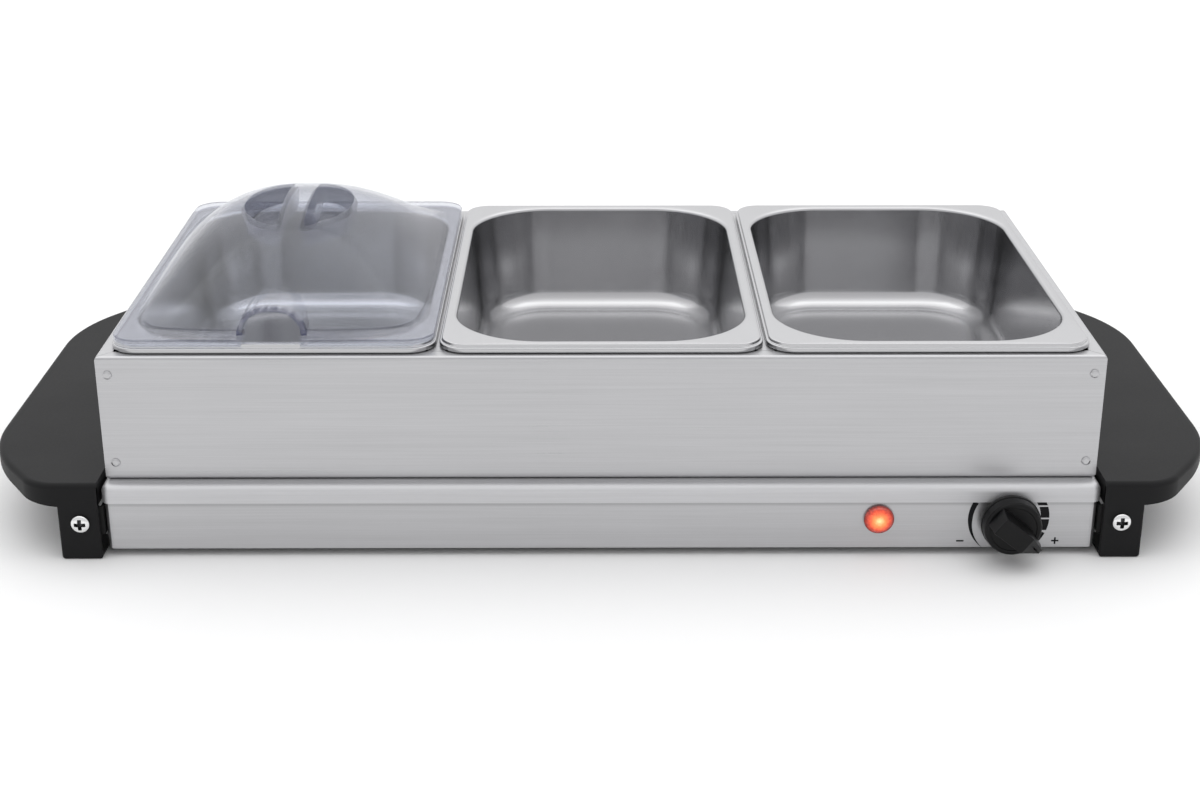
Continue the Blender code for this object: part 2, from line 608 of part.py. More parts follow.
def wiring():
    """Terminal block, thermal fuse, earth screw, cable gland and the wires between them."""
    floor = CASING_BOTTOM + 2 * GAP
    block = box("terminal_block", (BLOCK_X - BLOCK_HALF_X, BLOCK_Y - BLOCK_HALF_Y, floor),
                (BLOCK_X + BLOCK_HALF_X, BLOCK_Y + BLOCK_HALF_Y, floor + BLOCK_HEIGHT))
    finish(block, WHITE_PLASTIC)
    fuse_profile = [(2.4 * MM, 20 * MM), (2.4 * MM, 41 * MM)]
    fuse = turned("thermal_fuse", fuse_profile, (244 * MM, 33 * MM), SMALL_ROUND_STEPS)
    finish(smooth(fuse), ALUMINIUM)
    earth_profile = [(3.5 * MM, floor), (3.5 * MM, floor + 2 * MM),
                     (2 * MM, floor + 2 * MM), (2 * MM, floor + 5 * MM)]
    earth = turned_upright("earth_screw", earth_profile, (96 * MM, 120 * MM), SMALL_ROUND_STEPS)
    finish(earth, BRASS)
    wall = CASING_HALF_Y
    neck = GLAND_HOLE_RADIUS - GAP
    gland_profile = [(8.5 * MM, wall - 6 * MM), (8.5 * MM, wall - SHEET - GAP), (neck, wall - SHEET - GAP),
                     (neck, wall + GAP), (9 * MM, wall + GAP), (9 * MM, wall + 3 * MM),
                     (6.5 * MM, wall + 4.5 * MM), (5 * MM, GLAND_TIP_Y)]
    gland = turned("cable_gland", gland_profile, (GLAND_X, GLAND_Z))
    bore = [(CORD_RADIUS, wall - 8 * MM), (CORD_RADIUS, GLAND_TIP_Y + SHEET)]
    carve(gland, turned("bore", bore, (GLAND_X, GLAND_Z), SMALL_ROUND_STEPS))
    finish(smooth(gland), BLACK)
    end = ELEMENT_END_X + ELEMENT_RADIUS + GAP
    routes = {
        "wire_live": [(158.6, 115, 14), (166, 115, 14), (195, 108, 13), (232, 104, 20), (244, 75, 31),
                      (244, 50, 33), (244, 41.6, 33)],
        "wire_fused": [(244, 19.4, 33), (244, 11, 33), (250, -20, 24), (249, -68, 16), (240, -97, 15),
                       (225, -105, 16), (222, -109, 17), (222, -113.4, 17)],
        "wire_element_front": [(213, -113.4, 26), (213, -108, 27), (216, -102, 30), (228, -97, 33),
                               (238, -88, 36), (238, -75, 37)],
        "wire_element_rear": [(158.6, 120, 14), (168, 120, 14), (210, 118, 15), (234, 108, 28),
                              (241, 92, 36), (238, 75, 37)],
        "wire_lamp_live": [(145, -118.4, 19), (145, -112, 19), (158, -104, 17), (186, -106, 15),
                           (195, -118, 17), (201.8, -120, 18)],
        "wire_lamp_neutral": [(151, -118.4, 24), (151, -112, 24), (165, -103, 22), (205, -102, 11),
                              (244, -106, 8.5), (257, -90, 8.5), (258, 70, 8.5), (251, 100, 8.5),
                              (215, 127, 9), (168, 126, 10), (158.6, 126, 10)],
        "wire_earth": [(121.4, 120, 14), (115, 120, 15), (102, 120, 16), (96, 120, 14), (96, 120, 10.8)],
    }
    sleeves = {
        "wire_live": BROWN_SLEEVE, "wire_fused": BROWN_SLEEVE, "wire_element_front": GREY_SLEEVE,
        "wire_element_rear": BLUE_SLEEVE, "wire_lamp_live": RED_SLEEVE,
        "wire_lamp_neutral": BLUE_SLEEVE, "wire_earth": GREEN_SLEEVE,
    }
    for name, points in routes.items():
        path = through([(x * MM, y * MM, z * MM) for x, y, z in points], 3)
        if name.startswith("wire_element"):
            path[-1].x = max(path[-1].x, end)
        finish(tube(name, path, WIRE_RADIUS), sleeves[name])


def handle_outline(inset):
    """Plan of the left handle's grip, drawn on the +X side and inset all round."""
    outer = HANDLE_OUTER_X - inset
    front = -HANDLE_HALF_Y + inset
    shoulder = (HANDLE_SHOULDER_X - inset * 0.6, front)
    sweep = (outer, -HANDLE_SHOULDER_Y + inset * 0.4)
    low = rounded_corner((HANDLE_INNER_X, front), shoulder, sweep, HANDLE_CORNER - inset, 5)
    low += rounded_corner(shoulder, sweep, (outer, 0), HANDLE_SWEEP - inset, 5)
    return low + [(x, -y) for x, y in low[::-1]]


def handle_bottom(x):
    """Height of the grip's lower edge, which rises towards its outer side."""
    share = (x - LEG_OUTER_X) / (HANDLE_OUTER_X - LEG_OUTER_X)
    return HANDLE_LIP_BOTTOM + max(share, 0.0) * (HANDLE_TIP_BOTTOM - HANDLE_LIP_BOTTOM)


def handle(name, side):
    """Moulded end handle: a hollow grip plate with a front and a rear leg."""
    rings = []
    for step in range(3):
        angle = math.pi / 2 * step / 2
        inset = HANDLE_EDGE * (1 - math.sin(angle))
        level = HANDLE_TOP - HANDLE_EDGE * (1 - math.cos(angle))
        inner = [(HANDLE_INNER_X, -HANDLE_HALF_Y + inset)]
        outline = inner + handle_outline(inset) + [(HANDLE_INNER_X, HANDLE_HALF_Y - inset)]
        rings.append([(x, y, level) for x, y in outline])
    rings.append([(x, y, handle_bottom(x)) for x, y, level in rings[-1]])
    shell = loft(name, rings)
    inside = HANDLE_TOP - HANDLE_WALL
    hollow = [(HANDLE_INNER_X - SHEET, -HANDLE_HALF_Y + HANDLE_WALL)] + handle_outline(HANDLE_WALL)
    hollow += [(HANDLE_INNER_X - SHEET, HANDLE_HALF_Y - HANDLE_WALL)]
    for end in (-1, 1):
        leg_face = end * HANDLE_HALF_Y
        leg_back = end * (HANDLE_HALF_Y - LEG_DEPTH)
        centre = ((LEG_OUTER_X + HANDLE_INNER_X) / 2, (leg_face + leg_back) / 2)
        half_width = (LEG_OUTER_X - HANDLE_INNER_X) / 2
        leg = []
        for trim, level in ((0, inside), (0, LEG_CORNER), (SHEET, 0)):
            leg.append(ring(half_width - trim, LEG_DEPTH / 2 - trim, LEG_CORNER, level, centre))
        carve(shell, loft("leg", leg), "UNION")
    carve(shell, prism("hollow", hollow, -SHEET + HANDLE_LIP_BOTTOM, inside))
    for end in (-1, 1):
        leg_walls = (end * (HANDLE_HALF_Y - HANDLE_WALL), end * (HANDLE_HALF_Y - LEG_DEPTH - SHEET))
        pocket = box("pocket", (HANDLE_INNER_X - SHEET, min(leg_walls), HANDLE_WALL),
                     (LEG_OUTER_X - HANDLE_WALL, max(leg_walls), inside - SHEET))
        carve(shell, pocket)
        radius = SCREW_RADIUS + GAP
        hole = [(radius, end * (HANDLE_HALF_Y + SHEET)), (radius, end * (HANDLE_HALF_Y - 4 * SHEET))]
        carve(shell, turned("hole", hole, (SCREW_X, CONTROL_HEIGHT), SMALL_ROUND_STEPS))
    shell.data.transform(Matrix.Scale(side, 4, (1, 0, 0)))
    if side < 0:
        shell.data.flip_normals()
    return finish(smooth(shell), BLACK)


def handle_bracket(name, side):
    """Steel strip on the casing's end, with a turned-out tab for each handle screw."""
    inner = CASING_HALF_X + GAP
    outer = inner + BRACKET_STRIP
    low = CONTROL_HEIGHT - BRACKET_HALF_HEIGHT
    high = CONTROL_HEIGHT + BRACKET_HALF_HEIGHT
    reach = HANDLE_HALF_Y - HANDLE_WALL - GAP
    bracket = box(name, (inner, -reach, low), (outer, reach, high))
    for end in (-1, 1):
        faces = sorted((end * reach, end * (reach - BRACKET_TAB)))
        tab_tip = LEG_OUTER_X - HANDLE_WALL - GAP
        tab = box("tab", (outer - SHEET, faces[0], low), (tab_tip, faces[1], high))
        carve(bracket, tab, "UNION")
        radius = SCREW_RADIUS + GAP
        hole = [(radius, end * (reach + SHEET)), (radius, end * (reach - 4 * SHEET))]
        carve(bracket, turned("hole", hole, (SCREW_X, CONTROL_HEIGHT), SMALL_ROUND_STEPS))
    bracket.data.transform(Matrix.Scale(side, 4, (1, 0, 0)))
    if side < 0:
        bracket.data.flip_normals()
    return finish(bracket, BLACK_STEEL)


def handle_screws():
    """Four pan-head screws through the legs into the end brackets."""
    head = SCREW_HEAD_RADIUS
    seat = HANDLE_HALF_Y + GAP
    for end, row in ((-1, "front"), (1, "rear")):
        for side, column in ((-1, "left"), (1, "right")):
            profile = [(2 * MM, end * (seat - 11 * MM)), (SCREW_RADIUS, end * (seat - 10 * MM)),
                       (SCREW_RADIUS, end * seat), (head, end * seat), (head, end * (seat + SHEET)),
                       (0.8 * head, end * (seat + 2.1 * MM)), (0.35 * head, end * (seat + 2.7 * MM))]
            centre = (side * SCREW_X, CONTROL_HEIGHT)
            screw = turned(f"handle_screw_{row}_{column}", profile, centre, SMALL_ROUND_STEPS)
            finish(smooth(screw), CHROME)


def folded_section(height):
    """Section of a frame panel as (inward, up): a wall with a flange at each end."""
    bend = FRAME_BEND
    inner = bend - SHEET
    outside = [(FRAME_FOOT_FLANGE, 0)] + arc((bend, bend), bend, 270, 180, 3)
    outside += arc((bend, height - bend), bend, 180, 90, 3) + [(FRAME_FLANGE, height)]
    inside = [(FRAME_FLANGE, height - SHEET)] + arc((bend, height - bend), inner, 90, 180, 3)
    inside += arc((bend, bend), inner, 180, 270, 3) + [(FRAME_FOOT_FLANGE, SHEET)]
    return outside + inside


def frame_panel(name, length_half, setback):
    """A folded panel lying along X with its outer face at y = 0, mitred at its flanges.

    setback shortens the wall at both ends so that it passes behind the panel it meets.
    """
    rings = []
    for side in (-1, 1):
        points = []
        for inward, up in folded_section(FRAME_HEIGHT):
            in_wall = FRAME_BEND - HAIR < up < FRAME_HEIGHT - FRAME_BEND + HAIR
            trim = 0 if in_wall else inward + GAP / 2
            points.append((side * (length_half - max(trim, setback)), inward, up))
        rings.append(points)
    return loft(name, rings)


def place(item, angle_deg, location):
    """Turn a mesh about Z and move it, leaving its object unturned."""
    item.data.transform(Matrix.Translation(location) @ Matrix.Rotation(math.radians(angle_deg), 4, "Z"))
    return item


def drill_rivets(panel, sides, faces):
    """Drill a panel's rivet holes at the given sides and outer faces of the frame."""
    radius = RIVET_SHANK_RADIUS + GAP
    for side in sides:
        for face in faces:
            for drop in RIVET_DROPS:
                drill = [(radius, face - 4 * SHEET), (radius, face + 4 * SHEET)]
                centre = (side * RIVET_X, FRAME_TOP - drop)
                carve(panel, turned("drill", drill, centre, SMALL_ROUND_STEPS))


def pan_frame():
    """Front, rear and end panels of the pan frame, drilled for their rivets."""
    setback = SHEET + GAP
    front = FRAME_FRONT
    rear = FRAME_OFFSET_Y + FRAME_HALF_Y
    for name, angle, face in (("frame_front", 0, front), ("frame_rear", 180, rear)):
        panel = frame_panel(name, FRAME_HALF_X, 0)
        place(panel, angle, (0, face, FRAME_BOTTOM))
        drill_rivets(panel, (-1, 1), (face,))
        finish(smooth(panel), BRUSHED)
    for name, side in (("frame_end_left", -1), ("frame_end_right", 1)):
        panel = frame_panel(name, FRAME_HALF_Y, setback)
        for end in (-1, 1):
            edge = FRAME_HALF_Y - setback
            faces = sorted((end * edge, end * (edge - SHEET)))
            tab = box("tab", (faces[0], SHEET / 2, FRAME_BEND + SHEET),
                      (faces[1], END_TAB_WIDTH, FRAME_HEIGHT - FRAME_BEND - SHEET))
            carve(panel, tab, "UNION")
        place(panel, side * 90, (side * FRAME_HALF_X, FRAME_OFFSET_Y, FRAME_BOTTOM))
        drill_rivets(panel, (side,), (front, rear))
        finish(smooth(panel), BRUSHED)


def frame_rivets():
    """Eight domed rivets, four through the front panel and four through the rear."""
    head = RIVET_HEAD_RADIUS
    shank = RIVET_SHANK_RADIUS
    tail = 2 * SHEET + 3 * GAP
    profile = [(0.4 * head, -GAP - RIVET_HEAD_HEIGHT), (0.8 * head, -GAP - 0.7 * RIVET_HEAD_HEIGHT),
               (head, -GAP), (shank, -GAP), (shank, tail), (1.3 * shank, tail), (1.1 * shank, tail + SHEET)]
    for end, row in ((-1, "front"), (1, "rear")):
        for side, column in ((-1, "left"), (1, "right")):
            for drop, level in zip(RIVET_DROPS, ("upper", "lower")):
                face = FRAME_OFFSET_Y + end * FRAME_HALF_Y
                points = [(radius, face - end * depth) for radius, depth in profile]
                centre = (side * RIVET_X, FRAME_TOP - drop)
                rivet = turned(f"rivet_{row}_{column}_{level}", points, centre, SMALL_ROUND_STEPS)
                finish(smooth(rivet), CHROME)


def frame_dividers():
    """Two channels under the pan rims, with tabs under the front and rear flanges."""
    length = FRAME_HALF_Y - FRAME_FLANGE - GAP
    half = DIVIDER_WIDTH / 2
    for side, name in ((-1, "divider_left"), (1, "divider_right")):
        x = side * PAN_PITCH / 2
        low = (x - half, FRAME_OFFSET_Y - length, FRAME_TOP - DIVIDER_HEIGHT)
        high = (x + half, FRAME_OFFSET_Y + length, FRAME_TOP)
        divider = box(name, low, high)
        hollow = box("hollow", (x - half + SHEET, low[1] - SHEET, low[2] - SHEET),
                     (x + half - SHEET, high[1] + SHEET, FRAME_TOP - SHEET))
        carve(divider, hollow)
        for end in (-1, 1):
            root = FRAME_OFFSET_Y + end * (length - DIVIDER_TAB)
            tip = FRAME_OFFSET_Y + end * (length + DIVIDER_TAB)
            tab = box("tab", (x - half, min(root, tip), FRAME_TOP - 2 * SHEET - GAP),
                      (x + half, max(root, tip), FRAME_TOP - SHEET - GAP))
            carve(divider, tab, "UNION")
        finish(divider, BRUSHED)


def pan_ring(offset, level, centre, corner=None):
    """A ring at a distance outside the pan's opening."""
    radius = corner if corner is not None else PAN_CORNER + offset
    return ring(PAN_HALF_X + offset, PAN_HALF_Y + offset, radius, PAN_BASE + level, centre)


def pan(name, x):
    """Deep-drawn food pan: tapered walls, rounded floor and a stepped, rolled rim."""
    centre = (x, FRAME_OFFSET_Y)
    rim = PAN_RIM_HEIGHT
    floor = rim - PAN_DEPTH
    fillet = PAN_FLOOR_FILLET
    inner = []
    for step in range(4):
        angle = math.pi / 2 * step / 3
        offset = -PAN_DRAFT - fillet * (1 - math.sin(angle))
        inner.append((offset, floor + fillet * (1 - math.cos(angle)), None))
    inner += [(-0.2 * MM, rim - 2.5 * MM, None), (0.5 * MM, rim - 0.7 * MM, None), (2 * MM, rim, None)]
    corner = PAN_RIM_CORNER
    outer_rim = [
        (4.6 * MM, rim, corner - 2 * MM), (5.3 * MM, rim - 0.6 * MM, corner - 1.5 * MM),
        (5.5 * MM, rim - 1.6 * MM, corner - SHEET), (6.4 * MM, rim - 2 * MM, corner - 0.5 * MM),
        (6.9 * MM, rim - 2.6 * MM, corner), (6.9 * MM, rim - 3.9 * MM, corner),
        (6.3 * MM, 0.0, corner),
    ]
    under = [
        (5.7 * MM, 0.0, corner - SHEET), (5.9 * MM, rim - 2.9 * MM, corner - SHEET),
        (4.7 * MM, rim - 2.4 * MM, corner - 2 * MM), (4.3 * MM, rim - PAN_WALL, corner - 2 * MM),
    ]
    outer = [(offset + PAN_WALL, level - PAN_WALL, None) for offset, level, _ in inner[::-1]]
    profile = inner + outer_rim + under + outer
    rings = [pan_ring(offset, level, centre, radius) for offset, level, radius in profile]
    return finish(smooth(loft(name, rings)), PAN_STEEL)


def dome_rise(x, y, half_x, half_y):
    """Height share of the dome: an arch along X times an arch along Y, nothing at its foot."""
    reach_x = half_x / (1 - DOME_FOOT) ** (1 / DOME_POWER_X)
    reach_y = half_y / (1 - DOME_FOOT) ** (1 / DOME_POWER_Y)
    rise = (1 - abs(x / reach_x) ** DOME_POWER_X) * (1 - abs(y / reach_y) ** DOME_POWER_Y)
    return (rise - DOME_FOOT) / (1 - DOME_FOOT)


def dome_foot(half_x, half_y):
    """Plan outline round which the dome's height is nothing, found by halving along each ray."""
    foot = []
    for x, y, _ in ring(half_x, half_y, DOME_CORNER, 0):
        inside = 0.8
        outside = 1.1
        for _ in range(24):
            share = (inside + outside) / 2
            if dome_rise(x * share, y * share, half_x, half_y) > 0:
                inside = share
            else:
                outside = share
        foot.append((x * inside, y * inside))
    return foot


def dome_loop(half_x, half_y, level, centre):
    """The dome's foot outline at one height."""
    return [(centre[0] + x, centre[1] + y, level) for x, y in dome_foot(half_x, half_y)]


def dome_rings(half_x, half_y, base, height, centre):
    """Rings of the dome, each a smaller copy of its foot lifted onto the surface."""
    foot = dome_foot(half_x, half_y)
    rings = []
    for step in range(DOME_STEPS):
        share = 1 - step / DOME_STEPS
        rings.append([])
        for x, y in foot:
            rise = max(dome_rise(x * share, y * share, half_x, half_y), 0)
            rings[-1].append((centre[0] + x * share, centre[1] + y * share, base + height * rise))
    return rings


def arch(half_width, top, corner, foot):
    """Outline of an arch as (across, up): two straight sides and a rounded top."""
    right = arc((half_width - corner, top - corner), corner, 0, 90, 5)
    left = arc((corner - half_width, top - corner), corner, 90, 180, 5)
    return [(half_width, foot)] + right + left + [(-half_width, foot)]


def pocket_tool(name, side, grow, bottom, top, centre):
    """Half of an ellipse beside the grip, as a solid that narrows downwards."""
    rings = []
    for level, taper in ((bottom, 3 * MM), (top, 0)):
        half_x = POCKET_HALF_X + grow - taper
        half_y = POCKET_HALF_Y + grow - taper
        edge = GRIP_HALF_WIDTH - grow + taper / 3
        limit = math.acos(edge / half_x)
        points = []
        for step in range(15):
            angle = -limit + 2 * limit * step / 14
            x = centre[0] + side * half_x * math.cos(angle)
            points.append((x, centre[1] + half_y * math.sin(angle), level))
        rings.append(points)
    return loft(name, rings)


def lid():
    """Clear moulded lid: stepped rim, dome, two finger pockets and a spoon notch."""
    centre = (-PAN_PITCH, FRAME_OFFSET_Y)
    corner = PAN_RIM_CORNER
    base = PAN_BASE
    top = base + LID_RIM_TOP
    seat = base + PAN_RIM_HEIGHT + GAP
    edge = 0.8 * MM
    outer = [
        ring(LID_HALF_X, LID_HALF_Y, corner, base + LID_LIP_BOTTOM, centre),
        ring(LID_HALF_X, LID_HALF_Y, corner, top - edge, centre),
        ring(LID_HALF_X - edge, LID_HALF_Y - edge, corner - edge, top, centre),
        dome_loop(DOME_HALF_X + edge, DOME_HALF_Y + edge, top, centre),
    ] + dome_rings(DOME_HALF_X, DOME_HALF_Y, top + edge, DOME_HEIGHT, centre)
    cover = loft("lid", outer)
    collar = arch(NOTCH_HALF_WIDTH + NOTCH_RIM, NOTCH_TOP + NOTCH_RIM,
                  NOTCH_CORNER + NOTCH_RIM, LID_RIM_TOP - SHEET)
    collar_outline = [(x + centre[0], z + base) for x, z in collar]
    rim_front = FRAME_OFFSET_Y - LID_HALF_Y
    collar_ends = (rim_front + NOTCH_RIM_SETBACK, rim_front + NOTCH_LENGTH)
    carve(cover, prism("collar", collar_outline, *collar_ends, "Y"), "UNION")
    pocket_centre = (centre[0], centre[1] + POCKET_OFFSET_Y)
    crown = top + DOME_HEIGHT
    for side in (-1, 1):
        tool = pocket_tool("pocket", side, 0, crown - POCKET_DEPTH, crown + 4 * MM, pocket_centre)
        carve(cover, tool)
    wall = LID_WALL
    step_x = LID_HALF_X - LIP_WALL
    step_y = LID_HALF_Y - LIP_WALL
    inner = [
        ring(step_x, step_y, corner - edge, base + LID_LIP_BOTTOM - SHEET, centre),
        ring(step_x, step_y, corner - edge, seat, centre),
        dome_loop(DOME_HALF_X - wall, DOME_HALF_Y - wall, seat, centre),
    ] + dome_rings(DOME_HALF_X - wall - edge, DOME_HALF_Y - wall - edge, top,
                   DOME_HEIGHT - wall, centre)
    cavity = loft("cavity", inner)
    for side in (-1, 1):
        tool = pocket_tool("pocket", side, wall, crown - POCKET_DEPTH - wall, crown + 4 * MM, pocket_centre)
        carve(cavity, tool)
    carve(cover, cavity)
    notch = arch(NOTCH_HALF_WIDTH, NOTCH_TOP, NOTCH_CORNER, 0)
    notch_outline = [(x + centre[0], z + base) for x, z in notch]
    notch_ends = (rim_front - SHEET, rim_front + NOTCH_LENGTH + SHEET)
    carve(cover, prism("notch", notch_outline, *notch_ends, "Y"))
    return finish(smooth(cover), CLEAR)


def centre_on_origin():
    """Parent every piece to one empty that centres the box front to back."""
    hub = bpy.data.objects.new("unit_origin", None)
    bpy.context.collection.objects.link(hub)
    for item in list(bpy.context.collection.objects):
        if item is not hub:
            item.parent = hub
    hub.location = (0, CENTRE_Y, 0)
    bpy.context.view_layer.update()


def main():
    """Build the base, the pan frame, the pans and the lid."""
    clear_scene()
    warming_plate()
    base_shell()
    bottom_cover()
    cover_screws()
    heating_element()
    element_clamps()
    reflector_plate()
    thermostat()
    control_knob()
    pilot_lamp()
    wiring()
    handle("handle_left", -1)
    handle("handle_right", 1)
    handle_bracket("handle_bracket_left", -1)
    handle_bracket("handle_bracket_right", 1)
    handle_screws()
    pan_frame()
    frame_rivets()
    frame_dividers()
    pan("pan_left", -PAN_PITCH)
    pan("pan_centre", 0.0)
    pan("pan_right", PAN_PITCH)
    lid()
    centre_on_origin()


main()
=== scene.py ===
"""Countertop buffet warmer: deep steel pans in a riveted frame on an electric warming base.

Every surface is worked out in metres, with the front facing -Y and the legs standing
on z = 0.
"""
import math

import bmesh
import bpy
import numpy as np
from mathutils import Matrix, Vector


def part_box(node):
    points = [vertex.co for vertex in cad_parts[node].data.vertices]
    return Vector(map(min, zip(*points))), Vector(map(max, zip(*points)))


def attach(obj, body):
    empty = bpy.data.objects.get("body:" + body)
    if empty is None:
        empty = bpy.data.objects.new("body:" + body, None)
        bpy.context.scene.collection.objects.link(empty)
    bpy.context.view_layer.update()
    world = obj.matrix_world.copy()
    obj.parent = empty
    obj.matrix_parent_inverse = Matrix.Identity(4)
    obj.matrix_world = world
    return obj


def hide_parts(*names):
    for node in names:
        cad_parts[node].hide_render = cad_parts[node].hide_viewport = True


bl_info = {
    "name": "Countertop Buffet Warmer",
    "version": (1, 0, 0),
    "blender": (4, 5, 0),
    "location": "3D View > Sidebar > Buffet Warmer",
    "description": "Builds the pans, lid, handles, sheet panels and controls of a buffet warmer",
    "category": "Add Mesh",
}

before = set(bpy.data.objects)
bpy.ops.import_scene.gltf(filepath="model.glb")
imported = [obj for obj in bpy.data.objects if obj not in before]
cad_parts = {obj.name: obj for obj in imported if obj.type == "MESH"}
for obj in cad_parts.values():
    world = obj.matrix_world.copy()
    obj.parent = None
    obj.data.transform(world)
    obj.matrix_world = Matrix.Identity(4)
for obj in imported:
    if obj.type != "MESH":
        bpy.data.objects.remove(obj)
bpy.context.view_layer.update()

MM = 0.001
SIDES = {"left": -1, "right": 1}
ROWS = {"front": -1, "rear": 1}
CORNER_SIGNS = np.array([(1, 1), (-1, 1), (-1, -1), (1, -1)], float)


# --------------------------------------------------------------- solids' boxes

def low(node):
    """Lowest corner of a solid's box."""
    return np.array(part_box(node)[0], float)


def high(node):
    """Highest corner of a solid's box."""
    return np.array(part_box(node)[1], float)


def middle(node):
    """Centre of a solid's box."""
    return (low(node) + high(node)) / 2


# ------------------------------------------------------------- surface algebra

def rounded_rectangle(half, radius, centre, corner_steps=16, side_steps=2):
    """Closed rows of points round rectangles with circular corners.

    On row i, a corner's points are centre + sign * (half[i] - radius[i]) + radius[i] *
    (cos a, sin a), with a running over that corner's quarter turn, and each straight
    side is divided evenly.
    """
    half = np.atleast_2d(half)
    radius = np.broadcast_to(radius, len(half))
    turn = (np.arange(4)[:, None] + np.linspace(0, 1, corner_steps + 1)) * math.pi / 2
    unit = np.stack((np.cos(turn), np.sin(turn)), axis=-1)
    hubs = CORNER_SIGNS * (half - radius[:, None])[:, None, :]
    arcs = hubs[:, :, None, :] + radius[:, None, None, None] * unit
    share = (np.arange(1, side_steps) / side_steps)[:, None]
    starts = arcs[:, :, -1:, :]
    ends = np.roll(arcs[:, :, :1, :], -1, axis=1)
    sides = starts + (ends - starts) * share
    loop = np.concatenate((arcs, sides), axis=2)
    return loop.reshape(len(half), -1, 2) + np.asarray(centre)[:2]


def at_levels(loops, levels):
    """Lift plan loops of shape (rows, columns, 2) to one level a row."""
    heights = np.broadcast_to(np.reshape(levels, (-1, 1, 1)), (*loops.shape[:2], 1))
    return np.concatenate((loops, heights), axis=-1)


def filleted(points, radii, steps=6):
    """An open outline with its inner corners rounded by circular arcs.

    Each corner P with unit directions a and b to its neighbours is replaced by the
    rational curve ((1-t)^2 A + 2 w t (1-t) P + t^2 B) / ((1-t)^2 + 2 w t (1-t) + t^2),
    where A and B lie radius / tan(half angle) along a and b and w = sin(half angle),
    which is exactly a circle's arc.
    """
    points = np.asarray(points, float)
    radii = np.asarray(radii, float)[:, None]
    before = points[:-2] - points[1:-1]
    after = points[2:] - points[1:-1]
    before /= np.linalg.norm(before, axis=1, keepdims=True)
    after /= np.linalg.norm(after, axis=1, keepdims=True)
    half_angle = np.arccos(np.clip((before * after).sum(1, keepdims=True), -1, 1)) / 2
    reach = radii / np.tan(half_angle)
    weight = np.sin(half_angle)[:, None, :]
    t = np.linspace(0, 1, steps + 1)[None, :, None]
    corner = points[1:-1][:, None, :]
    start = corner + (before * reach)[:, None, :]
    end = corner + (after * reach)[:, None, :]
    top = (1 - t) ** 2 * start + 2 * weight * t * (1 - t) * corner + t ** 2 * end
    bottom = (1 - t) ** 2 + 2 * weight * t * (1 - t) + t ** 2
    arcs = (top / bottom).reshape(-1, points.shape[1])
    return np.concatenate((points[:1], arcs, points[-1:]))


def filleted_loop(points, radii, steps=6):
    """A closed outline with every corner rounded, by the same arcs."""
    points = np.asarray(points, float)
    wrapped = np.concatenate((points[-1:], points, points[:1]))
    return filleted(wrapped, radii, steps)[1:-1]


def quads(rows, columns, wrap_rows=False, wrap_columns=True, offset=0):
    """Faces between neighbouring points of a grid; a wrapped side joins its last line to its first."""
    row = np.arange(rows if wrap_rows else rows - 1)[:, None]
    column = np.arange(columns if wrap_columns else columns - 1)[None, :]
    above = (row + 1) % rows * columns
    after = (column + 1) % columns
    lower = row * columns
    faces = np.stack((lower + column, lower + after, above + after, above + column), axis=-1)
    return (faces.reshape(-1, 4) + offset).tolist()


def skin(points, wrap_rows=False, wrap_columns=True, caps="", fans=""):
    """A patch (points, faces) over a grid; ends named in caps get one face, in fans a fan of triangles."""
    rows, columns = points.shape[:2]
    flat = points.reshape(-1, 3)
    faces = quads(rows, columns, wrap_rows, wrap_columns)
    rings = {"first": np.arange(columns), "last": np.arange(columns) + (rows - 1) * columns}
    for end in caps.split():
        faces.append(rings[end].tolist())
    for end in fans.split():
        loop = rings[end]
        hub = len(flat)
        flat = np.concatenate((flat, flat[loop].mean(0, keepdims=True)))
        spokes = np.stack((loop, np.roll(loop, -1), np.full(columns, hub)), axis=-1)
        faces += spokes.tolist()
    return flat, faces


def turned(profile, centre, steps=48, axis="Y", fans="first last"):
    """Surface of revolution: radius r and depth d give centre + (r cos a, d, r sin a)."""
    profile = np.asarray(profile, float)
    angle = np.linspace(0, 2 * math.pi, steps, endpoint=False)
    across = profile[:, :1] * np.cos(angle)
    up = profile[:, :1] * np.sin(angle)
    depth = np.broadcast_to(profile[:, 1:], across.shape)
    order = {"Y": (across, depth, up), "Z": (across, up, depth)}[axis]
    return skin(np.stack(order, axis=-1) + np.asarray(centre), fans=fans)


def extruded(outline, start, end, axis):
    """A closed prism: the outline's two numbers fill the other two axes, in X, Y, Z order."""
    outline = np.asarray(outline, float)
    place = {"X": 0, "Y": 1, "Z": 2}[axis]
    rings = [np.insert(outline, place, depth, axis=1) for depth in (start, end)]
    return skin(np.array(rings), caps="first last")


def block(corner_a, corner_b):
    """A plain rectangular block between two corners, as a patch."""
    a = np.minimum(corner_a, corner_b)
    b = np.maximum(corner_a, corner_b)
    outline = np.array([(a[0], a[1]), (b[0], a[1]), (b[0], b[1]), (a[0], b[1])])
    return extruded(outline, a[2], b[2], "Z")


# ------------------------------------------------------------------ mesh pieces

def merged(patches):
    """One list of points and one of faces from several patches."""
    points = []
    faces = []
    count = 0
    for patch_points, patch_faces in patches:
        points.append(patch_points)
        faces += [[index + count for index in face] for face in patch_faces]
        count += len(patch_points)
    return np.concatenate(points), faces


